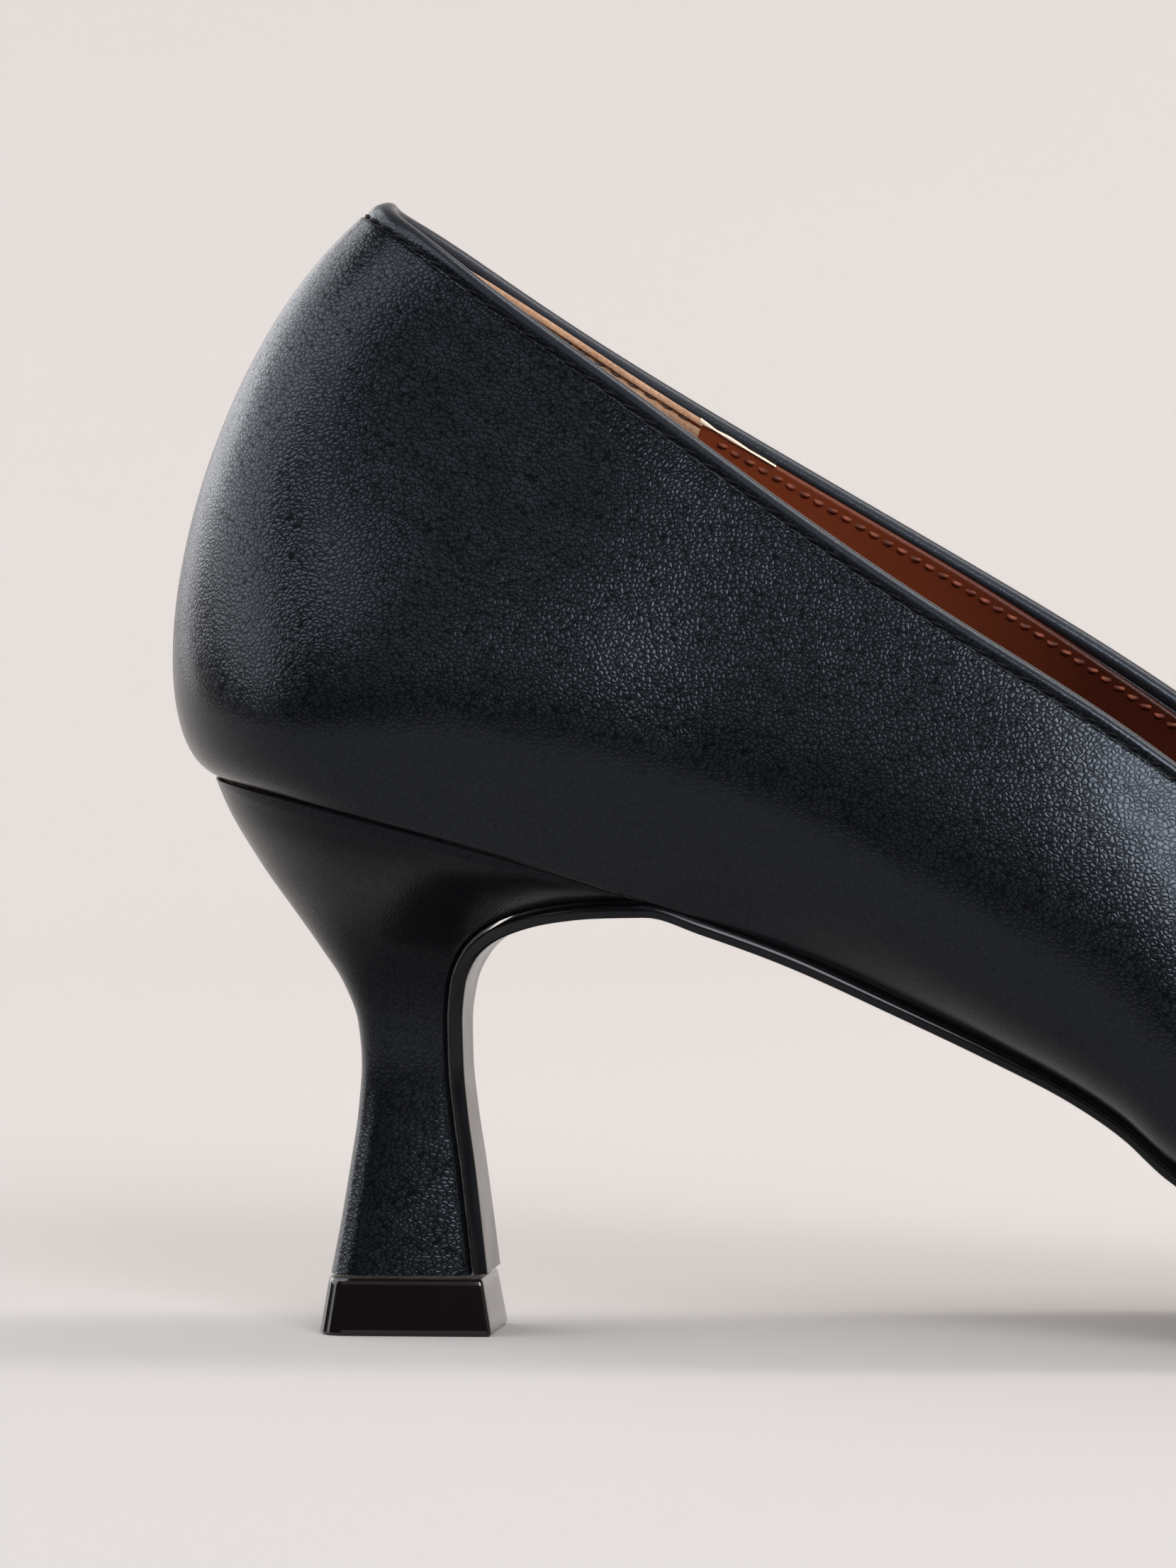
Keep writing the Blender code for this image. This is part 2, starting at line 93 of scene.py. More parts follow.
STATION_COLUMNS = (
    "foot_along", "foot_outer", "foot_inner", "top_along", "top_out", "top_up_outer", "top_up_inner",
    "tuck_angle", "tuck_reach", "lean_angle", "lean_reach",
)
STATIONS = (
    (1.67, 0.0, 0.0, 8.16, 0.0, 100.0, 100.0, 21, 17.2, 38, 41.2),
    (2.85, 30.0, 29.5, 9.80, 17.4, 97.2, 96.7, 23, 18.0, 44, 40.0),
    (6.12, 52.0, 51.3, 13.47, 31.3, 88.4, 87.7, 42, 26.0, 68, 38.5),
    (11.0, 60.3, 59.0, 18.0, 40.8, 77.7, 77.2, 68, 34.8, 70, 58.5),
    (18.4, 58.0, 55.4, 24.5, 51.9, 62.0, 63.4, 64, 34.0, 68.6, 69.0),
    (26.9, 52.8, 48.2, 31.8, 62.2, 45.5, 48.4, 37, 34.7, 69.4, 69.0),
    (36.7, 54.6, 48.5, 38.8, 69.2, 30.6, 33.3, 13.4, 36.2, 70.4, 64.2),
    (45.7, 70.5, 62.8, 44.5, 69.7, 17.0, 19.8, 27.3, 30.5, 73.5, 54.5),
    (53.9, 88.0, 80.8, 49.8, 61.3, 7.3, 9.0, 47.6, 28.0, 64.5, 44.7),
    (62.0, 94.5, 91.5, 54.7, 47.5, 0.9, 1.8, 57.7, 29.3, 50, 40.3),
    (71.4, 86.3, 87.6, 59.0, 29.5, -1.2, -1.2, 62, 28.0, 32, 42.0),
    (82.9, 57.9, 64.1, 61.2, 16.5, -0.2, -0.2, 62, 21.5, 21, 46.0),
    (93.1, 28.2, 35.9, 61.96, 7.5, 1.1, 1.1, 60, 16.0, 15.4, 49.0),
    (97.9, 10.8, 19.2, 62.06, 3.2, 1.35, 1.35, 58, 13.8, 14.2, 50.0),
    (99.4, -3.8, 3.8, 62.06, -0.6, 1.4, 1.4, 58, 13.2, 14, 50.0),
)
TOE = len(STATIONS) - 1
TREAD_UP = 100 * (SOLE_THICK + GAP) / HEEL_HEIGHT
FOOT_LINE = (
    (0.0, 100.4), (1.67, 100.0), (4.57, 98.2), (8.73, 94.0), (12.8, 89.4), (16.5, 84.7), (20.0, 79.7),
    (25.1, 71.7), (30.3, 61.3), (33.9, 53.8), (36.7, 47.6), (38.9, 41.4), (40.9, 33.8), (44.9, 22.3),
    (49.0, 13.7), (53.1, 8.2), (57.1, 5.6), (60.0, TREAD_UP), (72.5, TREAD_UP), (78.0, 5.9),
    (86.0, 8.4), (93.0, 11.9), (100.0, 16.6),
)
print(len(STATIONS), "stations to a side,", round(LENGTH / MM), "mm long")

# %% Smooth curves through a table
def columns(names, rows):
    """A table's rows as one array per named column."""
    return dict(zip(names, np.array(rows, float).T))


def smooth(knots, values, at):
    """Piecewise cubic whose slope at a knot is the weighted harmonic mean of its two neighbours,
    or nought where they differ in sign, so it never overshoots and level rows stay level."""
    knots, values, at = (np.asarray(v, float) for v in (knots, values, at))
    step = np.diff(knots)
    rise = np.diff(values) / step
    slope = np.concatenate([rise[:1], np.zeros(len(knots) - 2), rise[-1:]])
    same = rise[:-1] * rise[1:] > 0
    before, after = 2 * step[1:] + step[:-1], step[1:] + 2 * step[:-1]
    safe = np.where(same, rise[:-1], 1.0), np.where(same, rise[1:], 1.0)
    slope[1:-1] = np.where(same, (before + after) / (before / safe[0] + after / safe[1]), 0.0)
    i = np.clip(np.searchsorted(knots, at) - 1, 0, len(step) - 1)
    t = (at - knots[i]) / step[i]
    near = (1 + 2 * t) * (1 - t) ** 2 * values[i] + t * (1 - t) ** 2 * step[i] * slope[i]
    return near + t * t * (3 - 2 * t) * values[i + 1] + t * t * (t - 1) * step[i] * slope[i + 1]


def ring_spline(knots, values, at):
    """Closed cubic spline with an even bend at every knot: the bends solve one linear system."""
    step = np.diff(knots)
    count = len(step)
    before, after = np.roll(step, 1), step
    rise = (np.roll(values, -1) - values) / step
    matrix = np.zeros((count, count))
    index = np.arange(count)
    matrix[index, index] = 2 * (before + after)
    matrix[index, index - 1] += before
    matrix[index, (index + 1) % count] += after
    bend = np.linalg.solve(matrix, 6 * (rise - np.roll(rise, 1)))
    i = np.clip(np.searchsorted(knots, at % knots[-1], side="right") - 1, 0, count - 1)
    j = (i + 1) % count
    t = at % knots[-1] - knots[i]
    slope = rise[i] - step[i] * (2 * bend[i] + bend[j]) / 6
    return values[i] + t * (slope + t * (bend[i] / 2 + t * (bend[j] - bend[i]) / (6 * step[i])))


def unit(vectors):
    """Each vector divided by its own length."""
    return vectors / np.linalg.norm(vectors, axis=-1, keepdims=True)


print("smooth through 0, 1, 1 at 0.5:", round(float(smooth([0, 1, 2], [0, 1, 1], 0.5)), 3))

# %% The closed ring of stations
def foot_height(x):
    """Height of the feather edge, where upper and sole meet, at x."""
    along, up = np.array(FOOT_LINE).T
    return HEEL_HEIGHT / 100 * smooth(along * LENGTH / 100, up, x)


def foot_slant(x):
    """Length of the feather edge per unit of x: the root of one plus its slope squared."""
    slope = (foot_height(x + 1e-4) - foot_height(x - 1e-4)) / 2e-4
    return np.sqrt(1 + slope * slope)


def station_ring():
    """Every station value as a closed list: back, outer side, toe, inner side."""
    side = columns(STATION_COLUMNS, STATIONS)
    ring = {name: np.concatenate([value, value[-2:0:-1]]) for name, value in side.items()}
    half = BALL_WIDTH / 200
    up = np.concatenate([side["top_up_outer"], side["top_up_inner"][-2:0:-1]])
    ring["foot_x"] = ring["foot_along"] * LENGTH / 100
    ring["foot_y"] = half * np.concatenate([-side["foot_outer"], side["foot_inner"][-2:0:-1]])
    ring["top_x"] = ring["top_along"] * LENGTH / 100
    ring["top_y"] = half * np.concatenate([-side["top_out"], side["top_out"][-2:0:-1]])
    ring["top_z"] = THROAT_TOP + (BACK_TOP - THROAT_TOP) * up / 100
    return ring


RING = station_ring()
WAY = sum(np.hypot(np.roll(RING[e + "_x"], -1) - RING[e + "_x"],
                   np.roll(RING[e + "_y"], -1) - RING[e + "_y"]) / 2 for e in ("foot", "top"))
KNOTS = np.concatenate([[0], np.cumsum(WAY)])
print("mean way round the shoe:", round(KNOTS[-1] / MM), "mm")

# %% The wall of the upper as a function of two parameters
def edge_frames(around, end):
    """Points of the feather edge or the topline, and the outward direction in plan, which is the
    direction of travel turned a quarter to the right."""
    at = np.interp(np.mod(around, 2 * TOE), np.arange(2 * TOE + 1), KNOTS)
    x, y = (ring_spline(KNOTS, RING[f"{end}_{axis}"], at) for axis in "xy")
    z = foot_height(x) if end == "foot" else ring_spline(KNOTS, RING["top_z"], at)
    small = 1e-5 * KNOTS[-1]
    run = np.array([ring_spline(KNOTS, RING[f"{end}_{axis}"], at + small)
                    - ring_spline(KNOTS, RING[f"{end}_{axis}"], at - small) for axis in "xy"])
    run /= np.hypot(run[0], run[1])
    return np.stack([x, y, z], 1), np.stack([run[1], -run[0], 0 * x], 1)


def wall_controls(around):
    """The four points of each section's cubic: feather edge, tuck handle, lean handle, topline.
    A handle is its reach times the outward direction turned by its angle towards the rise."""
    at = np.interp(np.mod(around, 2 * TOE), np.arange(2 * TOE + 1), KNOTS)
    foot, foot_out = edge_frames(around, "foot")
    top, top_out = edge_frames(around, "top")
    chord = top - foot
    size = np.linalg.norm(chord, axis=1, keepdims=True)
    handles = []
    for name, out, sign in (("tuck", foot_out, 1), ("lean", top_out, -1)):
        angle = np.radians(ring_spline(KNOTS, RING[name + "_angle"], at))[:, None]
        reach = ring_spline(KNOTS, RING[name + "_reach"], at)[:, None] / 100 * size
        rise = unit(chord - np.sum(chord * out, 1, keepdims=True) * out)
        handles.append(reach * (np.cos(angle) * out + sign * np.sin(angle) * rise))
    return foot, foot + handles[0], top + handles[1], top


def cubic(controls, up):
    """The four points weighed by (1-t)^3, 3t(1-t)^2, 3t^2(1-t) and t^3."""
    foot, low, high, top = (c[:, None, :] for c in controls)
    t = np.asarray(up, float)[..., None]
    s = 1 - t
    return s ** 3 * foot + 3 * t * s * s * low + 3 * t * t * s * high + t ** 3 * top


def wall_frame(around, up):
    """Points of the wall, its outward normals and its upward direction, by central differences."""
    controls = wall_controls(around)
    ahead = cubic(wall_controls(around + 1e-3), up)
    behind = cubic(wall_controls(around - 1e-3), up)
    rise = cubic(controls, up + 1e-4) - cubic(controls, up - 1e-4)
    return cubic(controls, up) + SHIFT, unit(np.cross(ahead - behind, rise)), unit(rise)


coarse = cubic(wall_controls(np.arange(6 * TOE) / 3), np.linspace(0, 1, 12) ** 1.15)
SHIFT = np.array(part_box("upper")[0]) - coarse.reshape(-1, 3).min(axis=0)
SHIFT[2] = 0
print("the shoe's own frame is moved by", np.round(SHIFT / MM, 3), "mm")

# %% Distance below the topline
def up_at_drop(around, drop):
    """The cubic's parameter at a way below the topline: Newton steps on the arc length, which a
    three-point Gauss rule adds up."""
    controls = wall_controls(around)
    drop = np.broadcast_to(drop, (len(around), np.shape(drop)[-1]))

    def speed(up):
        return np.linalg.norm(cubic(controls, up + 1e-4) - cubic(controls, up - 1e-4), axis=-1) / 2e-4

    up = 1 - drop / speed(np.ones_like(drop))
    for _ in range(4):
        way = (1 - up) * sum(w * speed(1 - (1 - up) * x) for x, w in
                             ((0.1127, 5 / 18), (0.5, 8 / 18), (0.8873, 5 / 18)))
        up = up + (way - drop) / speed(up)
    return up


def ramp(value, start, end):
    """Smooth step: nought up to start, one from end on, 3t^2 - 2t^3 between."""
    t = np.clip((np.asarray(value, float) - start) / (end - start), 0, 1)
    return t * t * (3 - 2 * t)


shown_at = np.array([0.0, 4.0, 14.0])
print("2 mm below the topline, t =", np.round(up_at_drop(shown_at, np.array([2 * MM])), 4).T)

# %% [markdown]
# ## The camera
# The picture was taken from far off with a long lens, a little above the shoe and turned slightly
# to its back, so lines hardly converge. The camera below stands where the outlines of the solids
# fall on those of the photograph. The picture cuts the shoe off in front of the arch.

# %% Camera
PICTURE_HEIGHT = 2212
FOCAL_PIXELS = 23115
CAMERA_PLACE = Vector((0.202297, -1.6, 0.13998)) + Vector(SHIFT)
CAMERA_DOWN, CAMERA_LEFT = 3.0627, 5.7634

lens = bpy.data.cameras.new("long_lens")
lens.sensor_width = 36
lens.lens = FOCAL_PIXELS * lens.sensor_width / PICTURE_HEIGHT
lens.clip_start, lens.clip_end = 0.05, 50
camera = bpy.data.objects.new("camera", lens)
camera.location = CAMERA_PLACE
camera.rotation_euler = (math.radians(90 - CAMERA_DOWN), 0, math.radians(CAMERA_LEFT))
bpy.context.scene.collection.objects.link(camera)
bpy.context.scene.camera = camera
bpy.context.scene.view_settings.view_transform = "Standard"
print("lens", round(lens.lens, 1), "mm")

# %% [markdown]
# ## From arrays to meshes, and from hex codes to materials
# Every piece is a grid of points. One function joins a grid into quads, one puts points and quads
# into a mesh, and one adds a node to a material. Faces are turned outwards by the sign of the
# volume they enclose.

# %% Mesh helpers
def grid_faces(rows, cols, wrap_rows=False, wrap_cols=False):
    """Quads of a grid of points numbered row by row."""
    steps = np.arange(rows - (not wrap_rows)), np.arange(cols - (not wrap_cols))
    i, j = (index.ravel() for index in np.meshgrid(*steps, indexing="ij"))
    i1, j1 = (i + 1) % rows, (j + 1) % cols
    return np.stack([i * cols + j, i1 * cols + j, i1 * cols + j1, i * cols + j1], 1)


def enclosed(points, faces):
    """Volume inside quads: a sixth of the sum of corner . (corner x corner) over their triangles."""
    a, b, c, d = (points[faces[:, k]] for k in range(4))
    return np.sum(a * np.cross(b, c)) / 6 + np.sum(a * np.cross(c, d)) / 6


def add_piece(name, points, faces, finish, stands_for=(), sharp=50, tones=None):
    """A mesh object on the body root, with its place in its mesh. Tones are point attributes."""
    points = np.asarray(points, float).reshape(-1, 3)
    faces = np.asarray(faces)
    if enclosed(points, faces) < 0:
        faces = faces[:, ::-1]
    mesh = bpy.data.meshes.new(name)
    mesh.from_pydata(points, [], faces)
    mesh.polygons.foreach_set("use_smooth", np.ones(len(faces), bool))
    mesh.set_sharp_from_angle(angle=math.radians(sharp))
    for tone, values in (tones or {}).items():
        layer = mesh.attributes.new(tone, "FLOAT", "POINT")
        layer.data.foreach_set("value", np.ascontiguousarray(values, np.float32).ravel())
    mesh.materials.append(finish)
    piece = bpy.data.objects.new(name, mesh)
    bpy.context.scene.collection.objects.link(piece)
    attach(piece, "root")
    if stands_for:
        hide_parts(*stands_for)
    low, high = points.min(axis=0) / MM, points.max(axis=0) / MM
    print(name, len(faces), "quads,", np.round(high - low, 1), "mm")
    return piece


# %% Material helpers
def linear(code):
    """An sRGB hex code as linear red, green, blue and one: c/12.92 or ((c+0.055)/1.055)^2.4."""
    part = np.array([int(code[k:k + 2], 16) for k in (1, 3, 5)]) / 255
    value = np.where(part <= 0.04045, part / 12.92, ((part + 0.055) / 1.055) ** 2.4)
    return (*map(float, value), 1.0)


def new_finish(name):
    """A material with its node tree and its Principled shader."""
    finish = bpy.data.materials.new(name)
    finish.use_nodes = True
    return finish, finish.node_tree, finish.node_tree.nodes["Principled BSDF"]


def add_node(tree, kind, settings=None, sockets=None):
    """Adds a node, sets its settings, and sets or links its input sockets."""
    made = tree.nodes.new("ShaderNode" + kind)
    for name, value in (settings or {}).items():
        setattr(made, name, value)
    for name, value in (sockets or {}).items():
        if isinstance(value, bpy.types.NodeSocket):
            tree.links.new(value, made.inputs[name])
        else:
            made.inputs[name].default_value = value
    return made


print("hex #808080 is", round(linear("#808080")[0], 4), "in linear light")

# %% [markdown]
# ## Full-grain black leather
# Drum-dyed calf with its own fine pebble: domed cells about 0.6 mm across, parted by narrow creases
# that are painted darker and given less shine, as painted shade. Where it is pulled hard over the
# last, low on the sides, the grain is stretched nearly smooth. Two point attributes follow the
# surface: grain says how much pebble is left, and the second is above nought where a lighter grey is
# painted on as sheen, on the folded edge and its facing, and below nought where the shine is cut as
# painted shade, in the stitched furrow and high on the heel. Voronoi cells on Object coordinates give
# the pebble, bent a little by noise so that no cell looks drawn with a ruler.

# %% Black leather
def black_leather(name, cell, depth, rough, dark="#060708", light="#0c0d10"):
    """Pebbled leather: cell width and crease depth in metres."""
    finish, tree, shader = new_finish(name)
    place = add_node(tree, "TexCoord")
    grain = add_node(tree, "Attribute", {"attribute_name": "grain"})
    wear = add_node(tree, "Attribute", {"attribute_name": "wear"})
    # Cells lie wider than high, as the hide was lasted round the back.
    flat = add_node(tree, "Mapping", {}, {"Vector": place.outputs["Object"], "Scale": (1, 1, 1.25)})
    sway = add_node(tree, "TexNoise", {}, {"Vector": flat.outputs[0], "Scale": 0.45 / cell, "Detail": 2.0})
    bent = add_node(tree, "VectorMath", {"operation": "MULTIPLY_ADD"},
                    {0: sway.outputs["Color"], 1: (0.8 * cell,) * 3, 2: flat.outputs[0]})
    pebble = add_node(tree, "TexVoronoi", {"feature": "DISTANCE_TO_EDGE"},
                      {"Vector": bent.outputs[0], "Scale": 1 / cell})
    crown = add_node(tree, "MapRange", {"interpolation_type": "SMOOTHSTEP"},
                     {"Value": pebble.outputs["Distance"], "From Min": 0.0, "From Max": 0.16})
    dome = add_node(tree, "MapRange", {"interpolation_type": "SMOOTHSTEP"},
                    {"Value": pebble.outputs["Distance"], "From Min": 0.0, "From Max": 0.42})
    fine = add_node(tree, "TexNoise", {}, {"Vector": flat.outputs[0], "Scale": 3.2 / cell, "Detail": 2.0})
    broad = add_node(tree, "TexNoise", {}, {"Vector": flat.outputs[0], "Scale": 0.16 / cell, "Detail": 2.0})
    worn = add_node(tree, "MapRange", {}, {"Value": broad.outputs["Fac"], "From Min": 0.3, "From Max": 0.7,
                                           "To Min": 0.8, "To Max": 1.15})
    relief = add_node(tree, "Math", {"operation": "MULTIPLY_ADD"},
                      {0: fine.outputs["Fac"], 1: 0.08, 2: dome.outputs[0]})
    left = add_node(tree, "Math", {"operation": "MULTIPLY"}, {0: grain.outputs["Fac"], 1: worn.outputs[0]})
    height = add_node(tree, "Math", {"operation": "MULTIPLY"}, {0: relief.outputs[0], 1: left.outputs[0]})
    bump = add_node(tree, "Bump", {}, {"Height": height.outputs[0], "Distance": depth, "Strength": 1.0})
    # The creases are painted darker and keep little shine, as painted shade; where the grain is pulled flat,
    # this fades.
    shown = add_node(tree, "Mix", {"data_type": "FLOAT"},
                     {0: grain.outputs["Fac"], 2: 0.78, 3: crown.outputs[0]})
    tint = add_node(tree, "Mix", {"data_type": "RGBA"},
                    {0: shown.outputs[0], 6: linear(dark), 7: linear(light)})
    # A positive value paints the folded edge a lighter grey, as sheen. A negative value cuts the shine of the
    # seam, as painted shade.
    sheen_paint = add_node(tree, "Mix", {"data_type": "RGBA"},
                      {0: wear.outputs["Fac"], 6: tint.outputs[2], 7: linear(PAINTED_SHEEN_GREY)})
    painted_shade_factor = add_node(tree, "MapRange", {}, {"Value": wear.outputs["Fac"], "From Min": -1.0, "From Max": 0.0})
    gloss = add_node(tree, "MapRange", {}, {"Value": broad.outputs["Fac"], "From Min": 0.3, "From Max": 0.7,
                                            "To Min": rough - 0.02, "To Max": rough + 0.03})
    # The crowns carry the shine, and the creases between them keep little of it, as painted shade.
    shine = add_node(tree, "MapRange", {}, {"Value": shown.outputs[0], "To Min": 0.06, "To Max": 0.34})
    shine = add_node(tree, "Math", {"operation": "MULTIPLY"}, {0: shine.outputs[0], 1: painted_shade_factor.outputs[0]})
    tree.links.new(sheen_paint.outputs[2], shader.inputs["Base Color"])
    tree.links.new(gloss.outputs[0], shader.inputs["Roughness"])
    tree.links.new(bump.outputs[0], shader.inputs["Normal"])
    tree.links.new(shine.outputs[0], shader.inputs["Specular IOR Level"])
    shader.inputs["Specular Tint"].default_value = linear("#dfe9f6")
    return finish


PEBBLE = 0.56 * MM
# The lighter grey painted on the folded edge and its facing as sheen.
PAINTED_SHEEN_GREY = "#26282c"
UPPER_LEATHER = black_leather("full_grain_black_leather", PEBBLE, 0.017 * MM, 0.23)
print("pebble", PEBBLE / MM, "mm wide")

# %% [markdown]
# ## Lining, suede, thread, sole and tip
# The quarters are lined with a glossy chestnut calf. Round the back sits a grip of tan suede, which
# is the same hide with its fibres up, so it scatters light and shows short naps. The sole is black
# and burnished, and the tip is a hard, polished plastic.

# %% Chestnut lining leather
def chestnut_leather():
    """Smooth dyed calf under a polish: fine pores, a slow drift of colour, painted shade deepening towards
    the waist, a soft gloss.
    """
    finish, tree, shader = new_finish("chestnut_lining_leather")
    place = add_node(tree, "TexCoord")
    drift = add_node(tree, "TexNoise", {}, {"Vector": place.outputs["Object"], "Scale": 1 / (14 * MM)})
    along = add_node(tree, "SeparateXYZ", {}, {0: place.outputs["Object"]})
    # Painted shade darkens it from the heel grip forward to the waist.
    deep = add_node(tree, "MapRange", {"interpolation_type": "SMOOTHSTEP"},
                    {"Value": along.outputs["X"], "From Min": -72 * MM, "From Max": -20 * MM})
    both = add_node(tree, "Math", {"operation": "MULTIPLY_ADD"},
                    {0: drift.outputs["Fac"], 1: 0.25, 2: deep.outputs[0]})
    tint = add_node(tree, "Mix", {"data_type": "RGBA"},
                    {0: both.outputs[0], 6: linear("#75361d"), 7: linear("#381409")})
    pores = add_node(tree, "TexVoronoi", {}, {"Vector": place.outputs["Object"], "Scale": 1 / (0.45 * MM)})
    bump = add_node(tree, "Bump", {}, {"Height": pores.outputs["Distance"], "Distance": 0.02 * MM})
    tree.links.new(tint.outputs[2], shader.inputs["Base Color"])
    tree.links.new(bump.outputs[0], shader.inputs["Normal"])
    shader.inputs["Roughness"].default_value = 0.36
    shader.inputs["Specular IOR Level"].default_value = 0.3
    return finish


CHESTNUT = chestnut_leather()

# %% Tan suede
def tan_suede():
    """Fibres up: a matt, mottled tan with sheen at grazing angles and naps a quarter of a mm wide."""
    finish, tree, shader = new_finish("tan_suede")
    place = add_node(tree, "TexCoord")
    nap = add_node(tree, "TexNoise", {}, {"Vector": place.outputs["Object"], "Scale": 1 / (0.28 * MM),
                                          "Detail": 4.0, "Roughness": 0.7})
    patch = add_node(tree, "TexNoise", {}, {"Vector": place.outputs["Object"], "Scale": 1 / (3 * MM)})
    both = add_node(tree, "Math", {"operation": "MULTIPLY_ADD"},
                    {0: patch.outputs["Fac"], 1: 0.6, 2: nap.outputs["Fac"]})
    share = add_node(tree, "MapRange", {}, {"Value": both.outputs[0], "From Min": 0.5, "From Max": 1.1})
    tint = add_node(tree, "Mix", {"data_type": "RGBA"},
                    {0: share.outputs[0], 6: linear("#805a40"), 7: linear("#c09a7c")})
    bump = add_node(tree, "Bump", {},
                    {"Height": nap.outputs["Fac"], "Distance": 0.25 * MM, "Strength": 0.8})
    tree.links.new(tint.outputs[2], shader.inputs["Base Color"])
    tree.links.new(bump.outputs[0], shader.inputs["Normal"])
    shader.inputs["Roughness"].default_value = 0.95
    shader.inputs["Specular IOR Level"].default_value = 0.2
    shader.inputs["Sheen Weight"].default_value = 0.35
    shader.inputs["Sheen Tint"].default_value = linear("#e8cdb0")
    return finish


SUEDE = tan_suede()

# %% Threads, raw edge, sole and tip
def spun_thread(name, dark, light, shine=0.5):
    """Bonded thread: two plies twisted every 0.5 mm show as slanting bands of shade."""
    finish, tree, shader = new_finish(name)
    place = add_node(tree, "TexCoord")
    turn = add_node(tree, "Mapping", {}, {"Vector": place.outputs["Object"], "Rotation": (0, 0.6, 0.4)})
    ply = add_node(tree, "TexWave", {}, {"Vector": turn.outputs[0], "Scale": 0.16 / (0.5 * MM),
                                         "Distortion": 1.0})
    tint = add_node(tree, "Mix", {"data_type": "RGBA"},
                    {0: ply.outputs["Fac"], 6: linear(dark), 7: linear(light)})
    bump = add_node(tree, "Bump", {}, {"Height": ply.outputs["Fac"], "Distance": 0.05 * MM})
    tree.links.new(tint.outputs[2], shader.inputs["Base Color"])
    tree.links.new(bump.outputs[0], shader.inputs["Normal"])
    shader.inputs["Roughness"].default_value = 0.6
    shader.inputs["Specular IOR Level"].default_value = shine
    return finish


def polished(name, dark, light, rough, wave, depth, shine=0.5):
    """A hard smooth face with a slow waviness, as paint, polish or moulding leaves it."""
    finish, tree, shader = new_finish(name)
    place = add_node(tree, "TexCoord")
    slow = add_node(tree, "TexNoise", {},
                    {"Vector": place.outputs["Object"], "Scale": 1 / wave, "Detail": 3.0})
    tint = add_node(tree, "Mix", {"data_type": "RGBA"},
                    {0: slow.outputs["Fac"], 6: linear(dark), 7: linear(light)})
    bump = add_node(tree, "Bump", {}, {"Height": slow.outputs["Fac"], "Distance": depth, "Strength": 0.6})
    gloss = add_node(tree, "MapRange", {}, {"Value": slow.outputs["Fac"], "From Min": 0.3, "From Max": 0.7,
                                            "To Min": 0.85 * rough, "To Max": 1.2 * rough})
    tree.links.new(tint.outputs[2], shader.inputs["Base Color"])
    tree.links.new(gloss.outputs[0], shader.inputs["Roughness"])
    tree.links.new(bump.outputs[0], shader.inputs["Normal"])
    shader.inputs["Specular IOR Level"].default_value = shine
    return finish


# The black thread is waxed and lies sunk, so it shows as dull dashes. The brown one is a shade
# lighter than the lining that it sews.
BLACK_THREAD = spun_thread("bonded_black_thread", "#040405", "#0b0c0e", 0.12)
BROWN_THREAD = spun_thread("bonded_chestnut_thread", "#4a2012", "#7d4029", 0.3)
DARK_BROWN_THREAD = spun_thread("bonded_dark_brown_thread", "#2c1a10", "#4d3220")
# A cut edge shows the pale, matt hide. The sole is inked and burnished, so it stays nearly black
# with a soft line of light, and the moulded tip mirrors in hard lines.
RAW_EDGE = polished("undyed_cut_leather_edge", "#c9b49a", "#e6d8c4", 0.8, 0.5 * MM, 0.08 * MM)
SOLE_LEATHER = polished("burnished_black_sole_leather", "#08080a", "#101013", 0.20, 5 * MM, 0.03 * MM, 0.2)
TIP_PLASTIC = polished("polished_black_polyurethane", "#0b0605", "#120a08", 0.10, 8 * MM, 0.02 * MM)
print("finishes:", [m.name for m in bpy.data.materials if m.name[0].islower()][-9:])

# %% [markdown]
# ## The upper
# One piece of leather wraps the foot from the sole to the topline, where it is folded over and
# stitched down. It is a closed section carried round the shoe: up the outside, over the folded
# edge in a half circle, down the facing inside, then behind the lining back to the sole. The
# stitch line pulls a shallow furrow 1.5 mm below the edge.

# %% Relief of the upper
STITCH_DROP = 1.45 * MM
COUNTER_END, COUNTER_WIDE = 46 * MM, 9.5 * MM
COUNTER_HIGH, COUNTER_LOW = 0.40 * MM, 0.25 * MM
CREASES = (
    (5.9, 7.0, 7.6, 4.6, 0.9, -0.10),
    (6.2, 9.4, 7.8, 7.6, 1.1, -0.09),
    (22.1, 7.0, 20.4, 4.8, 0.9, -0.10),
    (21.8, 9.6, 20.2, 7.8, 1.1, -0.09),
)


def soft_creases(around, drop):
    """Sum over the listed creases: depth times a bell across the line and along it.
    A row gives both ends as station and drop in mm, then width and depth in mm."""
    total = np.zeros_like(drop)
    for start, high, end, low, wide, deep in CREASES:
        along = (around[:, None] - start) / (end - start) + 0 * drop
        line = (high + (low - high) * np.clip(along, 0, 1)) * MM
        fade = np.exp(-((along - 0.5) / 0.34) ** 4)
        total += deep * MM * fade * np.exp(-((drop - line) / (wide * MM)) ** 2)
    return total


def counter_swell(x, drop):
    """A soft ridge where the stiffener inside the back ends: a bell over the way from the back. It
    is full from 6 mm below the topline, swells a little lower down and fades out towards the sole."""
    lower = ramp(drop, 10 * MM, 34 * MM)
    bell = np.exp(-((x - COUNTER_END + 4 * MM * lower) / COUNTER_WIDE) ** 2)
    shown = ramp(drop, 1.5 * MM, 6 * MM) * (1 - ramp(drop, 36 * MM, 47 * MM))
    return (COUNTER_HIGH + COUNTER_LOW * lower) * bell * shown


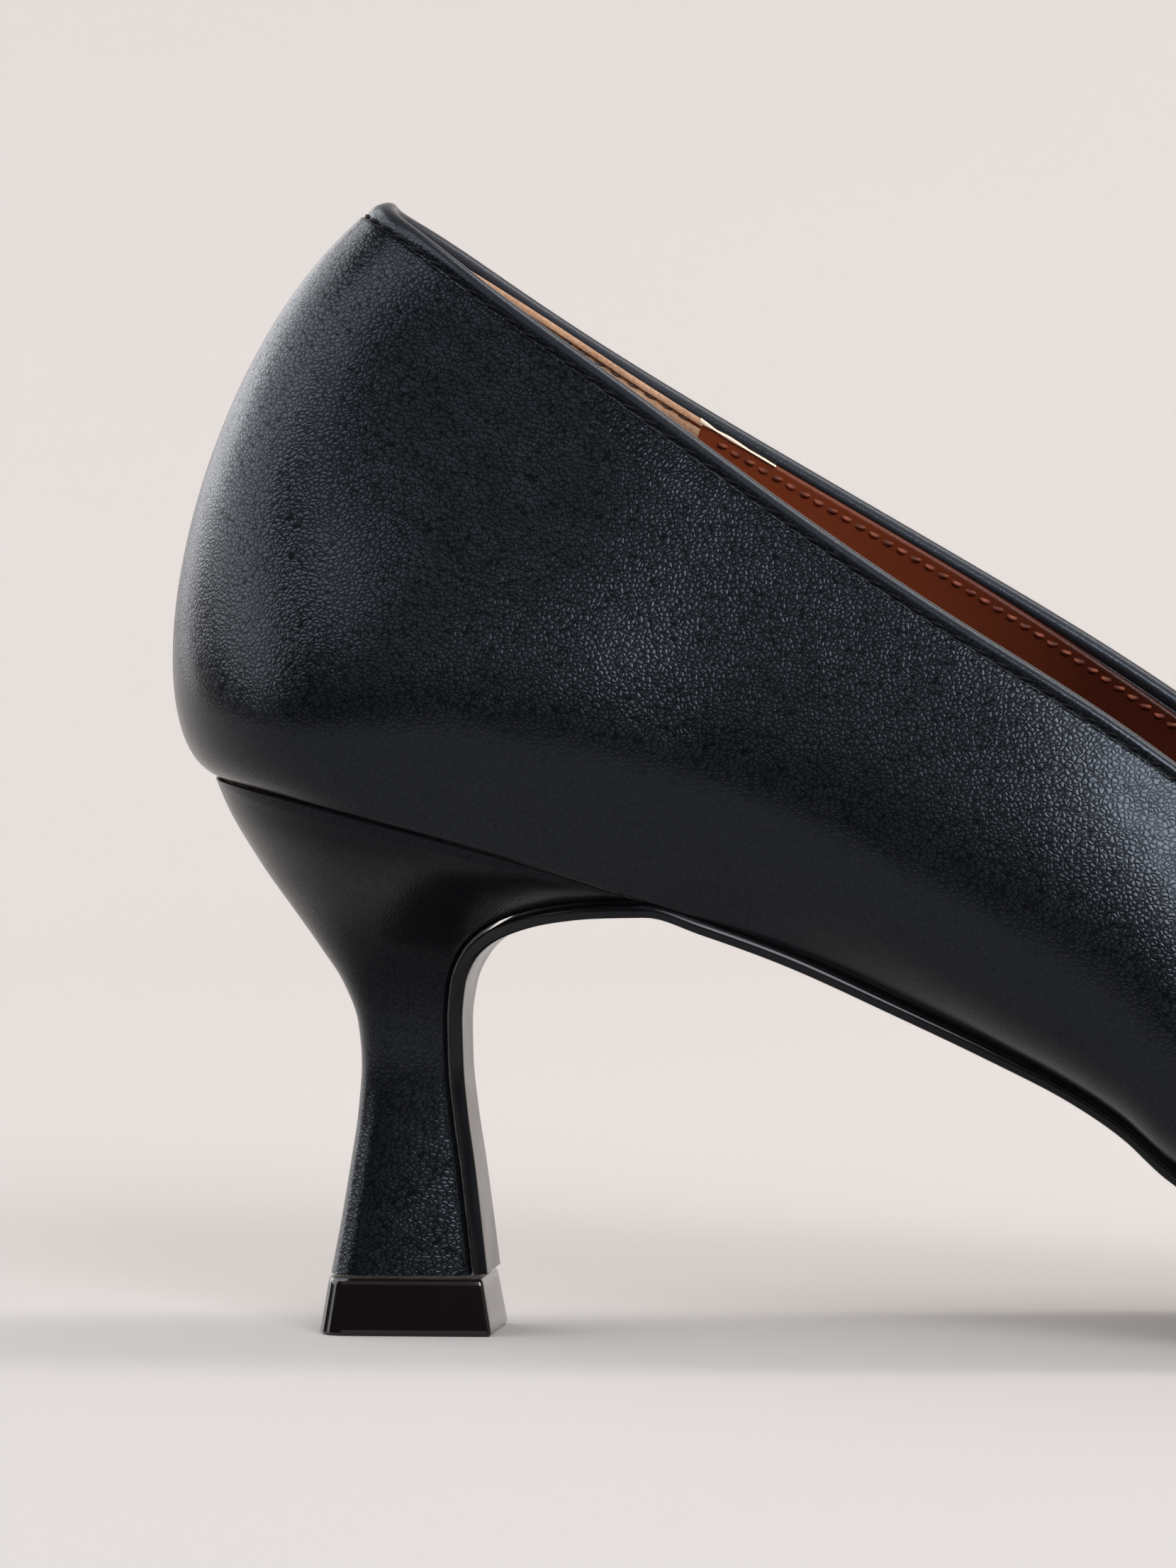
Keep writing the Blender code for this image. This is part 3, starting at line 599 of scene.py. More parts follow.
def leather_relief(around, drop):
    """Furrow at the stitches, fullness above it, creases, and slow waves of the hide."""
    furrow = -0.32 * np.exp(-((drop - STITCH_DROP) / (0.28 * MM)) ** 2)
    full = 0.10 * np.exp(-((drop - 0.8 * MM) / (0.35 * MM)) ** 2) * (drop > 0.7 * MM)
    turn = around[:, None] * 2 * math.pi / (2 * TOE)
    waves = 0.05 * np.sin(9 * turn + 90 * drop) + 0.04 * np.sin(14 * turn - 140 * drop + 1.3)
    return (furrow + full + waves * ramp(drop, 3 * MM, 12 * MM)) * MM + soft_creases(around, drop)


# %% Rows of the upper's closed section
AROUND = np.arange(2 * TOE * 22) / 22
ROLL = WALL / 2
BACKING_DEPTH = 1.3 * MM
RIM_DROPS = np.array([9, 8.2, 7.4, 6.6, 5.8, 5.1, 4.5, 3.9, 3.4, 2.95, 2.55, 2.2,
                      1.95, 1.75, 1.6, 1.45, 1.3, 1.15]) * MM


def side_station(around):
    """Station counted from the back on either side of the shoe."""
    return np.minimum(np.mod(around, 2 * TOE), 2 * TOE - np.mod(around, 2 * TOE))


def roll_drop(around):
    """Drop at which the fold leaves the wall so that its crest is level with the solid's topline:
    its radius times one minus the normal's upward share, over the wall's own upward share."""
    _, normal, rise = wall_frame(around, np.ones((len(around), 1)))
    return ROLL * np.clip((1 - normal[..., 2]) / rise[..., 2], 0.4, 1.0)


def facing_drop(around):
    """How far the folded leather reaches down inside: 0.9 mm at the back, 2.1 mm from the waist on,
    and never less than a hair below the fold."""
    station = side_station(around)
    wanted = (0.9 + 0.2 * ramp(station, 2.4, 4.0) + 1.0 * ramp(station, 4.6, 6.6)) * MM
    return np.maximum(wanted, roll_drop(around)[:, 0] + 0.12 * MM)


start = roll_drop(AROUND)
print("the fold starts", np.round(start[[0, 88, 308], 0] / MM, 2), "mm below the topline")

# %% Upper leather
body = up_at_drop(AROUND, RIM_DROPS[:1]) * np.linspace(0, 1, 46)[None, :-1]
outer_up = np.concatenate([body, up_at_drop(AROUND, RIM_DROPS)], 1)
point, normal, _ = wall_frame(AROUND, outer_up)
top_point = cubic(wall_controls(AROUND), np.ones((len(AROUND), 1))) + SHIFT
drop = np.linalg.norm(point - top_point, axis=-1)
drop[:, 45:] = RIM_DROPS
relief = leather_relief(AROUND, drop) + counter_swell(point[..., 0] - SHIFT[0], drop)
outside = point + relief[..., None] * normal
# The pebble is pulled flat where the wall turns under towards the sole.
outer_grain = 0.28 + 0.72 * ramp(normal[..., 2], -0.12, 0.14)

point, normal, rise = wall_frame(AROUND, up_at_drop(AROUND, start))
theta = np.linspace(0, math.pi, 14)[None, :-1, None]
roll = point + rise * ROLL * np.sin(theta) - normal * ROLL * (1 - np.cos(theta))
# At the middle of the back the folded edge is gathered into a small bead.
bead = np.exp(-(side_station(AROUND) / 0.5) ** 2)[:, None, None] * np.sin(theta)
roll = roll + bead * np.array([0.8, 0.0, 0.35]) * MM

edge = facing_drop(AROUND)[:, None]
inner = np.concatenate([start, start + (edge - start) * [[0.3, 0.52, 0.6, 0.68, 0.92, 1.0]],
                        edge + np.array([[0.15, 0.4]]) * MM], 1)
inner_depth = np.array([1.9, 1.78, 1.7, 1.58, 1.7, 1.7, 1.62, 1.4, 1.3]) * MM
point, normal, _ = wall_frame(AROUND, up_at_drop(AROUND, inner))
facing = point - normal * inner_depth[None, :, None]
backing_up = up_at_drop(AROUND, edge + 0.8 * MM) * np.linspace(1, 0, 14)[None, :]
point, normal, _ = wall_frame(AROUND, backing_up)
backing = point - normal * BACKING_DEPTH
section = np.concatenate([outside, roll, facing, backing], 1)
grain_left = np.concatenate([outer_grain, np.full(roll.shape[:2], 0.35), np.full(facing.shape[:2], 0.5),
                             np.full(backing.shape[:2], 0.5)], 1)
# A lighter grey is painted on the fold as sheen, most of all along its crest, and on the facing inside; the
# stitched furrow has its shine cut, as painted shade.
outer_sheen_and_shade = (0.55 * ramp(-drop, -1.25 * MM, -0.9 * MM) * (drop < 2 * MM)
              - 0.85 * np.exp(-((drop - STITCH_DROP) / (0.30 * MM)) ** 2))
roll_painted_sheen = 0.55 + 0.45 * np.sin(theta[..., 0]) + np.zeros(roll.shape[:2])
painted_sheen_and_shade = np.concatenate([outer_sheen_and_shade, roll_painted_sheen, np.full(facing.shape[:2], 0.45),
                      np.zeros(backing.shape[:2])], 1)
add_piece("upper_leather", section, grid_faces(*section.shape[:2], True, True), UPPER_LEATHER,
          ("upper",), sharp=70, tones={"grain": grain_left, "wear": painted_sheen_and_shade})

# %% [markdown]
# ## Lining and heel grip
# The lining is a sheet 0.8 mm thick that covers the inside from the facing to the sock.
# It stops short of the back, where the suede grip takes over and laps onto it. Both are closed
# strips: down the face that shows and up again behind it.

# %% Closed strips inside the wall
def inside_strip(around, top_drop, face_depth, behind_depth, foot_depth, groove=0.0):
    """A closed strip inside the wall. Its points run from the middle of a rounded top edge down the
    face to the sole and up behind it; the face's depth passes to foot_depth as it goes down. A
    groove is pressed into the face just below the top edge, which stays as a full lip."""
    thick = face_depth - behind_depth
    theta = np.linspace(0, math.pi / 2, 5)[None, :]
    edge = top_drop[:, None]
    cap_drop = edge + thick * 0.5 * (1 - np.sin(theta[:, ::-1])) + 0 * edge
    cap_depth = behind_depth + thick * (0.5 + 0.5 * np.sin(theta)) + 0 * edge
    below = np.concatenate([np.linspace(0.05, 1.25, 13), [1.6, 2.2, 3.0, 4.2]])[None, :] * MM
    near = edge + thick * 0.5 + below
    near_depth = face_depth + 0 * near
    near_depth -= groove * np.exp(-((below - 0.35 * MM) / (0.22 * MM)) ** 2)
    far = up_at_drop(around, near[:, -1:]) * np.linspace(1, 0, 34)[None, 1:]
    share = np.linspace(0, 1, 34)[None, 1:]
    far_depth = face_depth + (foot_depth - face_depth) * ramp(share, 0.3, 0.9) + 0 * far
    ups = np.concatenate([up_at_drop(around, np.concatenate([cap_drop, near], 1)), far], 1)
    depth = np.concatenate([cap_depth, near_depth, far_depth], 1)
    depth = np.concatenate([depth, np.full(depth.shape, behind_depth)], 1)
    point, normal, _ = wall_frame(around, np.concatenate([ups, ups[:, ::-1]], 1))
    return point - normal * depth[..., None]


def ribbon(around, drop, high, depth, thick):
    """A closed flat tube along the wall: an ellipse high by thick, centred at a drop and a depth."""
    point, normal, rise = wall_frame(around, up_at_drop(around, drop[:, None]))
    theta = np.linspace(0, 2 * math.pi, 12, endpoint=False)[None, :, None]
    tall = (high / 2)[:, None, None]
    return point - normal * depth + rise * tall * np.cos(theta) + normal * thick / 2 * np.sin(theta)


def capped(rows, cols):
    """Faces of an open tube of rows by cols with both ends closed by strips of quads."""
    faces = [grid_faces(rows, cols, wrap_cols=True)]
    k = np.arange(cols // 2 - 1)
    for first in (0, (rows - 1) * cols):
        faces.append(np.stack([first + k, first + k + 1, first + cols - 2 - k, first + cols - 1 - k], 1))
    faces[2] = faces[2][:, ::-1]
    return np.concatenate(faces)


print("strip of", len(capped(4, 8)), "faces for a tube of 4 by 8")

# %% Lining, heel grip and the cut edge beside it
GRIP_END, LAP = 3.42, 0.12
LINING_FACE, LINING_BACK, LINING_FOOT = 2.1 * MM, 1.3 * MM, 2.0 * MM
GRIP_FACE, GRIP_BACK, GRIP_FOOT, GRIP_GROOVE = 2.5 * MM, 1.6 * MM, 2.15 * MM, 0.5 * MM

lining_around = np.linspace(GRIP_END - LAP, 2 * TOE - GRIP_END + LAP, 420)
lining_top = facing_drop(lining_around) - 0.3 * MM
lining = inside_strip(lining_around, lining_top, LINING_FACE, LINING_BACK, LINING_FOOT)
add_piece("quarter_lining", lining, capped(*lining.shape[:2]), CHESTNUT, ())

grip_around = np.linspace(-GRIP_END, GRIP_END, 220)
grip_top = facing_drop(grip_around) - 0.4 * MM
grip = inside_strip(grip_around, grip_top, GRIP_FACE, GRIP_BACK, GRIP_FOOT, GRIP_GROOVE)
add_piece("heel_grip_suede", grip, capped(*grip.shape[:2]), SUEDE)

# On the inner side a sliver of undyed leather shows where the lining's top edge was cut.
sliver_around = 2 * TOE - np.linspace(GRIP_END - 0.02, GRIP_END + 0.45, 60)
sliver_share = np.linspace(0, 1, 60)
sliver_high = (0.10 + 0.50 * (1 - sliver_share) * np.abs(np.cos(7 * sliver_share))) * MM
sliver = ribbon(sliver_around, facing_drop(sliver_around) - 0.25 * MM, sliver_high, 2.15 * MM, 0.5 * MM)
add_piece("cut_lining_edge", sliver, capped(*sliver.shape[:2]), RAW_EDGE)

# %% [markdown]
# ## Stitches
# A stitch is a short bar of thread that dips into the leather at both ends. One bar is a bent tube
# of a few faces. All bars of a seam are made at once: the bar's own coordinates are spread over
# the along, across and outward directions found at each stitch.

# %% Stitch rows
def stitch_row(name, start, end, drop, depth, pitch, share, thick, finish):
    """Bars along the wall at a drop below the topline and a depth under its outer face. A bar is
    share times the pitch long; its middle stands proud and its ends sink by the thread's width."""
    fine = np.linspace(start, end, 1200)
    drops = drop(fine) if callable(drop) else np.full(len(fine), drop)
    point, normal, _ = wall_frame(fine, up_at_drop(fine, drops[:, None]))
    line = point[:, 0] - normal[:, 0] * depth
    way = np.concatenate([[0], np.cumsum(np.linalg.norm(np.diff(line, axis=0), axis=1))])
    count = int(way[-1] / pitch)
    middle = (np.arange(count) + 0.5) * way[-1] / count
    at = np.interp(middle, way, fine)
    drops = np.interp(at, fine, drops)
    centre, out, up = (v[:, 0] for v in wall_frame(at, up_at_drop(at, drops[:, None])))
    centre = centre - out * depth
    run = unit(np.cross(up, out))
    s = np.linspace(-1, 1, 7)
    turn = np.linspace(0, 2 * math.pi, 6, endpoint=False)
    girth = thick / 2 * np.sqrt(np.clip(1 - s ** 4, 0.02, 1))
    lift = thick * (0.30 - 0.75 * s ** 2)
    side = 1 if depth < WALL / 2 else -1
    along = s[:, None, None] * pitch * share / 2
    away = lift[:, None, None] + girth[:, None, None] * np.cos(turn)[None, :, None]
    across = girth[:, None, None] * np.sin(turn)[None, :, None]
    run, out, up = (v[:, None, None, :] for v in (run, out, up))
    points = centre[:, None, None, :] + (along * run + away * side * out + across * up)
    one = capped(len(s), len(turn))
    first = np.arange(count) * len(s) * len(turn)
    faces = (one[None] + first[:, None, None]).reshape(-1, 4)
    return add_piece(name, points, faces, finish, sharp=180)


stitch_row("topline_stitches", 0, 2 * TOE, STITCH_DROP,
           0.30 * MM, 2.5 * MM, 0.84, 0.38 * MM, BLACK_THREAD)
stitch_row("lining_stitches", GRIP_END + 0.1, 2 * TOE - GRIP_END - 0.1, lambda a: facing_drop(a) + 0.8 * MM,
           LINING_FACE, 1.6 * MM, 0.88, 0.48 * MM, BROWN_THREAD)
stitch_row("grip_stitches", -GRIP_END + 0.05, GRIP_END - 0.05, lambda a: facing_drop(a) + 0.4 * MM,
           2.05 * MM, 2.0 * MM, 0.86, 0.34 * MM, DARK_BROWN_THREAD)

# %% [markdown]
# ## Sock
# A thin leather sock covers the insole board. It is a plate between two pairs of rails: the upper
# pair meets the face of the lining, the lower pair is set in, and a rounded edge joins them.

# %% Sock
def foot_pair(count, start, end, inset):
    """Feather edge points paired across the shoe from the back to the toe, moved in by an inset."""
    station = np.linspace(start, end, count)
    edges = []
    for around in (station, 2 * TOE - station):
        edge, out = edge_frames(around, "foot")
        edges.append(edge - inset * out)
    return edges


def rounded_plate(left, right, low_left, low_right, across=16, edge=4):
    """Closed section from one rail to the other: the upper face, a half-round edge, the lower face
    and the other edge. Upper rails are left and right, lower rails low_left and low_right."""
    t = np.linspace(0, 1, across + 1)[None, :, None]
    top = left[:, None] * (1 - t) + right[:, None] * t
    low = low_right[:, None] * (1 - t) + low_left[:, None] * t
    theta = np.linspace(0, math.pi, edge + 2)[None, 1:-1, None]
    sides = []
    for over, under, other in ((right, low_right, left), (low_left, left, right)):
        middle, arm = (over + under) / 2, (over - under) / 2
        out = unit(over - other if over is right else under - other)
        bulge = np.linalg.norm(arm, axis=1)[:, None] * 0.35
        swing = arm[:, None] * np.cos(theta) + (out * bulge)[:, None] * np.sin(theta)
        sides.append(middle[:, None] + swing)
    return np.concatenate([top, sides[0], low, sides[1]], 1)


def lining_line(around, height):
    """Where the lining's face passes a height: the first point above it of many up the wall."""
    ups = np.linspace(0, 0.3, 240)[None, :] + 0 * around[:, None]
    point, normal, _ = wall_frame(around, ups)
    face = point - normal * LINING_FACE
    first = np.argmax(face[:, :, 2] > height[:, None], axis=1)
    return face[np.arange(len(around)), first]


SOCK_ROWS, SOCK_START, SOCK_SET_IN = 160, 1 / 3, 1.2 * MM
station = np.linspace(SOCK_START, TOE - SOCK_START, SOCK_ROWS)
edges = foot_pair(SOCK_ROWS, SOCK_START, TOE - SOCK_START, WALL + GAP + SOCK_SET_IN)
rails = []
for depth in (GAP + INSOLE_THICK, GAP):
    for around, edge in zip((station, 2 * TOE - station), edges):
        height = foot_height(edge[:, 0]) + depth * foot_slant(edge[:, 0])
        rail = edge + SHIFT if depth == GAP else lining_line(around, height)
        rails.append(np.concatenate([rail[:, :2], height[:, None]], 1))
sock = rounded_plate(*rails)
add_piece("sock", sock, capped(*sock.shape[:2]), CHESTNUT, ("insole",))

# %% [markdown]
# ## Heel
# A block is wrapped in the same leather and narrows to a waist. Its sections are a rounded back, two
# sides and a flat breast, as in the solid, here with the corners at the breast eased by a small
# curve and the top edge turned in, so that the seam to the upper shows as a dark line.

# %% Heel sections
HEEL_COLUMNS = ("back_along", "back_up", "front_along", "front_up", "half", "breast", "turn", "square")
HEEL = (
    (6.37, 10.7, 12.20, 10.7, 18.6, 15.6, 0.34, 3.0), (6.76, 20.0, 11.95, 20.0, 17.0, 14.8, 0.38, 2.9),
    (7.12, 30.0, 11.67, 30.0, 15.2, 13.6, 0.42, 2.8), (7.42, 39.3, 11.37, 39.3, 13.7, 12.8, 0.45, 2.6),
    (7.55, 48.0, 11.18, 48.0, 13.0, 12.1, 0.48, 2.5), (7.40, 55.4, 11.14, 55.6, 13.8, 12.8, 0.50, 2.4),
    (6.80, 62.6, 11.31, 62.8, 17.2, 15.8, 0.50, 2.3), (5.92, 68.7, 11.85, 68.5, 22.8, 20.8, 0.50, 2.2),
    (4.96, 74.8, 12.78, 72.7, 30.0, 27.4, 0.50, 2.1), (3.98, 81.0, 14.10, 75.7, 38.6, 35.2, 0.50, 2.1),
    (3.06, 87.2, 15.75, 77.8, 47.4, 43.0, 0.49, 2.0), (2.24, 93.6, 17.70, 79.0, 55.0, 49.8, 0.49, 2.0),
    (1.67, 99.5, 19.80, 79.5, 60.3, 55.6, 0.49, 2.0),
)
HEEL_LEVEL = np.linspace(0, 1, len(HEEL))


def block_rings(back, front, half, breast, turn, square, ease):
    """Closed sections between side-view points, one per row: a superellipse round the back, sides
    that pass to the breast's half width, a corner eased by a quadratic curve, and a flat breast.
    Back and front are rows of x and z; ease is the corner's size in metres."""
    depth = np.linalg.norm(front - back, axis=1)[:, None]
    half, breast, turn, square = (np.asarray(v, float)[:, None] for v in (half, breast, turn, square))
    keep = 1 - np.minimum(ease / ((1 - turn) * depth), 0.45)
    angle = np.linspace(0, math.pi / 2, 30)[None, :]
    past = np.linspace(0, 1, 9)[None, 1:] * keep
    along = np.concatenate([turn * (1 - np.cos(angle) ** (2 / square)), turn + (1 - turn) * past], 1)
    wide = np.concatenate([half * np.sin(angle) ** (2 / square), half + (breast - half) * past ** 2], 1)
    t = np.linspace(0, 1, 6)[None, 1:]
    along_corner = (1 - t) ** 2 * along[:, -1:] + 2 * t * (1 - t) + t * t
    wide_corner = (1 - t) ** 2 * wide[:, -1:] + 2 * t * (1 - t) * breast + t * t * (breast - ease)
    flat = np.linspace(1, 0, 6)[None, 1:]
    along = np.concatenate([along, along_corner, np.ones_like(breast * flat)], 1)
    wide = np.concatenate([wide, wide_corner, (breast - ease) * flat], 1)
    along = np.concatenate([along, along[:, -2:0:-1]], 1)
    wide = np.concatenate([wide, -wide[:, -2:0:-1]], 1)
    middle = back[:, None] + along[..., None] * (front - back)[:, None]
    return np.stack([middle[..., 0], -wide, middle[..., 1]], -1)


def heel_rings(at, ease):
    """The heel's sections at shares of its height, with the last one on the seat."""
    rows = {name: smooth(HEEL_LEVEL, column, at) for name, column in columns(HEEL_COLUMNS, HEEL).items()}
    back = np.stack([rows["back_along"] * LENGTH, rows["back_up"] * HEEL_HEIGHT], 1) / 100
    front = np.stack([rows["front_along"] * LENGTH, rows["front_up"] * HEEL_HEIGHT], 1) / 100
    half, breast = rows["half"] * BALL_WIDTH / 200, rows["breast"] * BALL_WIDTH / 200
    return block_rings(back, front, half, breast, rows["turn"], rows["square"], ease)


def closed_stack(rings, pinch):
    """Rings with extra rings at both ends that draw in to a point: shares of the ring's size."""
    ends = []
    for ring in (rings[0], rings[-1]):
        centre = ring.mean(axis=0)
        ends.append(np.stack([centre + (ring - centre) * share for share in pinch]))
    return np.concatenate([ends[0][::-1], rings, ends[1]])


# %% Heel cover
levels = np.concatenate([np.linspace(0, 0.9, 64), np.linspace(0.9, 1, 14)[1:]])
rings = heel_rings(levels, 0.9 * MM)
seat = rings[-1]
seat[:, 2] = foot_height(seat[:, 0]) - GAP * foot_slant(seat[:, 0])
middle = seat.mean(axis=0)
away = unit((seat - middle) * [1, 1, 0])
# The top edge turns in and up in three small steps, each given as in and up in millimetres.
TURN_IN = (0.06, 0.0), (0.25, 0.10), (0.6, 0.16)
turn_in = np.stack([seat - away * inward * MM + [0, 0, upward * MM] for inward, upward in TURN_IN])
turn_in[:, :, 2] -= TURN_IN[-1][1] * MM
rings = np.concatenate([rings[:-1], turn_in])
rings = closed_stack(rings, (0.7, 0.35, 0.02)) + SHIFT
grain_left = np.broadcast_to(np.interp(rings[:, :, 2], [6 * MM, 22 * MM, 34 * MM, 55 * MM],
                                       [1.0, 0.8, 0.45, 0.3]), rings.shape[:2])
# High on the heel the shine is cut by almost half, as painted shade.
heel_painted_shade = -0.45 * ramp(rings[:, :, 2], 27 * MM, 36 * MM)
add_piece("heel_cover", rings, capped(*rings.shape[:2]), UPPER_LEATHER, ("heel",),
          tones={"grain": grain_left, "wear": heel_painted_shade})

# %% [markdown]
# ## Heel tip
# The tip is a moulded block a little wider than the heel above it, polished, with edges eased by
# less than half a millimetre so that they catch a line of light.

# %% Heel tip
TIP = (
    (6.12, 13.00, 20.6, 0.0), (6.02, 13.08, 21.0, 6.0), (6.36, 12.72, 19.2, 95.0), (6.41, 12.65, 18.8, 100.0),
)
back_along, front_along, half_wide, up = np.array(TIP).T
level = np.concatenate([np.linspace(0, 6, 5), np.linspace(6, 95, 14)[1:], np.linspace(95, 100, 5)[1:]])
back, front, half = (np.interp(level, up, column) for column in (back_along, front_along, half_wide))
height = level / 100 * TIP_HEIGHT
tip_back = np.stack([back * LENGTH / 100, height], 1)
tip_front = np.stack([front * LENGTH / 100, height], 1)
tip_half = half * BALL_WIDTH / 200
rings = block_rings(tip_back, tip_front, tip_half, tip_half * 0.97, np.full(len(level), 0.30),
                    np.full(len(level), 5.0), 0.4 * MM)
rings = closed_stack(rings, (0.7, 0.35, 0.02)) + SHIFT
add_piece("heel_tip_block", rings, capped(*rings.shape[:2]), TIP_PLASTIC, ("heel_tip",),
          sharp=35)

# %% [markdown]
# ## Sole
# One thin sole starts as a flap on the breast of the heel, turns forward under the waist and
# thickens towards the tread. Two rails are joined from the breast curve and the feather edge, and a
# rounded plate runs between them.

# %% Sole
def breast_curve(at):
    """Points of the heel's breast in the side view, its outward normals and its half widths."""
    rows = columns(HEEL_COLUMNS, HEEL)

    def place(t):
        x = smooth(HEEL_LEVEL, rows["front_along"], t) * LENGTH / 100
        return np.stack([x, smooth(HEEL_LEVEL, rows["front_up"], t) * HEEL_HEIGHT / 100], 1)

    run = unit(place(np.minimum(at + 1e-3, 1)) - place(np.maximum(at - 1e-3, 0)))
    half = smooth(HEEL_LEVEL, rows["breast"], at) * BALL_WIDTH / 200
    return place(at), np.stack([run[:, 1], -run[:, 0]], 1), half


curve, out, half = breast_curve(np.linspace(0, 1, 60))
pair = foot_pair(200, 0, TOE, 0.0)
ahead = np.minimum(pair[0][:, 0], pair[1][:, 0]) > curve[-1, 0] + 4 * MM
rails = []
for below in (0, 1):
    for sign, edge in ((-1, pair[0][ahead]), (1, pair[1][ahead])):
        flap = curve + (GAP + below * SOLE_THIN) * out
        flap = np.stack([flap[:, 0], sign * half, flap[:, 1]], 1)
        thick = SOLE_THIN + (SOLE_THICK - SOLE_THIN) * ramp(edge[:, 0] / LENGTH, 0.42, 0.58)
        drop = (GAP + below * thick) * foot_slant(edge[:, 0])
        rail = np.concatenate([flap, edge - drop[:, None] * [0, 0, 1]])
        way = np.concatenate([[0], np.cumsum(np.linalg.norm(np.diff(rail, axis=0), axis=1))])
        fine = np.linspace(0, 1, 320) * way[-1]
        rails.append(np.stack([smooth(way, rail[:, k], fine) for k in range(3)], 1) + SHIFT)
sole = rounded_plate(*rails, across=14, edge=5)
add_piece("outsole_edge", sole, capped(*sole.shape[:2]), SOLE_LEATHER, ("outsole",))

# %% [markdown]
# ## Bow
# The picture stops before the toe, so the bow follows the name alone: a plain strap of the same
# leather, folded into two flat loops and pinched by a band. Pleats fan out of the band as soft
# troughs and ridges. The loops lie over the vamp and droop less than it falls away.

# %% Bow
BOW_SPAN, BOW_STRAP, BOW_LIFT, BOW_LEATHER = 50 * MM, 21 * MM, 7.8 * MM, 1.2 * MM
BOW_KNOT, BOW_FROM_THROAT, BOW_DROOP = 10 * MM, 11 * MM, 0.6
LOOP = (
    (0.00, 0.34, 0.46), (0.24, 0.38, 0.49), (0.44, 0.78, 0.86), (0.68, 1.00, 1.00), (0.87, 0.88, 1.00),
    (0.97, 0.62, 1.00), (1.00, 0.38, 1.00), (0.96, 0.14, 1.00), (0.84, 0.02, 1.00), (0.62, 0.00, 1.00),
    (0.43, 0.00, 0.88), (0.24, 0.00, 0.51), (0.00, 0.00, 0.46),
)
vamp_mesh = frame["nodes"]["upper"].data
tree = BVHTree.FromPolygons([v.co for v in vamp_mesh.vertices], [p.vertices for p in vamp_mesh.polygons])
bow_x = RING["top_x"][TOE] + BOW_FROM_THROAT + SHIFT[0]
bow_y = RING["top_y"][TOE] + SHIFT[1]


def vamp_height(x, y):
    """Height of the solid's outer face over a point of the floor, by a ray straight down."""
    return tree.ray_cast(Vector((x, y, 1)), Vector((0, 0, -1)))[0].z


crown = vamp_height(bow_x, bow_y)
step = BOW_STRAP / 3
pitch = math.atan2(vamp_height(bow_x - step, bow_y) - vamp_height(bow_x + step, bow_y), 2 * step)
fall_at = np.linspace(-BOW_SPAN / 2 - 2 * MM, BOW_SPAN / 2 + 2 * MM, 55)
fall = np.array([crown - vamp_height(bow_x, bow_y + y) for y in fall_at])
print("vamp slopes", round(math.degrees(pitch), 1), "degrees under the bow")


def on_vamp(along, across, height):
    """The bow's own along, across and height values as points over the vamp."""
    stand = (2 * GAP + 1.5 * BOW_LEATHER) / math.cos(pitch)
    base = crown + stand - BOW_DROOP * np.interp(across, fall_at, fall)
    x = bow_x + along * math.cos(pitch) + height * math.sin(pitch)
    z = base - along * math.sin(pitch) + height * math.cos(pitch)
    return np.stack([x, bow_y + across, z], -1)


def thick_sheet(grid, wrap_rows, thick, edge=3):
    """A sheet of points made a closed strip: one face, a half-round rim, the other face, a rim."""
    run = (np.roll(grid, -1, 0) - np.roll(grid, 1, 0)) if wrap_rows else np.gradient(grid, axis=0)
    over = np.gradient(grid, axis=1)
    out = unit(np.cross(run, over)) * thick / 2
    theta = np.linspace(0, math.pi, edge + 2)[None, 1:-1, None]
    first, last = -unit(over[:, :1]) * thick / 2, unit(over[:, -1:]) * thick / 2
    rim_last = grid[:, -1:] + out[:, -1:] * np.cos(theta) + last * np.sin(theta)
    rim_first = grid[:, :1] - out[:, :1] * np.cos(theta) + first * np.sin(theta)
    return np.concatenate([grid + out, rim_last, (grid - out)[:, ::-1], rim_first], 1)


# %% Bow loops and knot
out_share, lift_share, wide_share = np.array(LOOP).T
out_ring = np.concatenate([out_share, -out_share[-2:0:-1]]) * BOW_SPAN / 2
lift_ring = np.concatenate([lift_share, lift_share[-2:0:-1]]) * BOW_LIFT
wide_ring = np.concatenate([wide_share, wide_share[-2:0:-1]])
steps = np.hypot(np.roll(out_ring, -1) - out_ring, np.roll(lift_ring, -1) - lift_ring)
knots = np.concatenate([[0], np.cumsum(steps)])
at = np.linspace(0, knots[-1], 300, endpoint=False)
across, height, wide = (ring_spline(knots, ring, at)[:, None] for ring in (out_ring, lift_ring, wide_ring))
over = np.linspace(-1, 1, 41)[None, :]
near = np.exp(-(across / (0.27 * BOW_SPAN)) ** 4)
pleat = 0.55 * MM * near * np.cos(over * math.pi * 2.5) * ramp(height, 0.5 * MM, 2.4 * MM)
grid = on_vamp(over * wide * BOW_STRAP / 2, across + 0 * over, height + pleat)
loops = thick_sheet(grid, True, BOW_LEATHER)
add_piece("bow_loops_leather", loops, grid_faces(*loops.shape[:2], True, True), UPPER_LEATHER,
          ("bow_loops",), sharp=70, tones={"grain": np.full(loops.shape[:2], 0.9)})

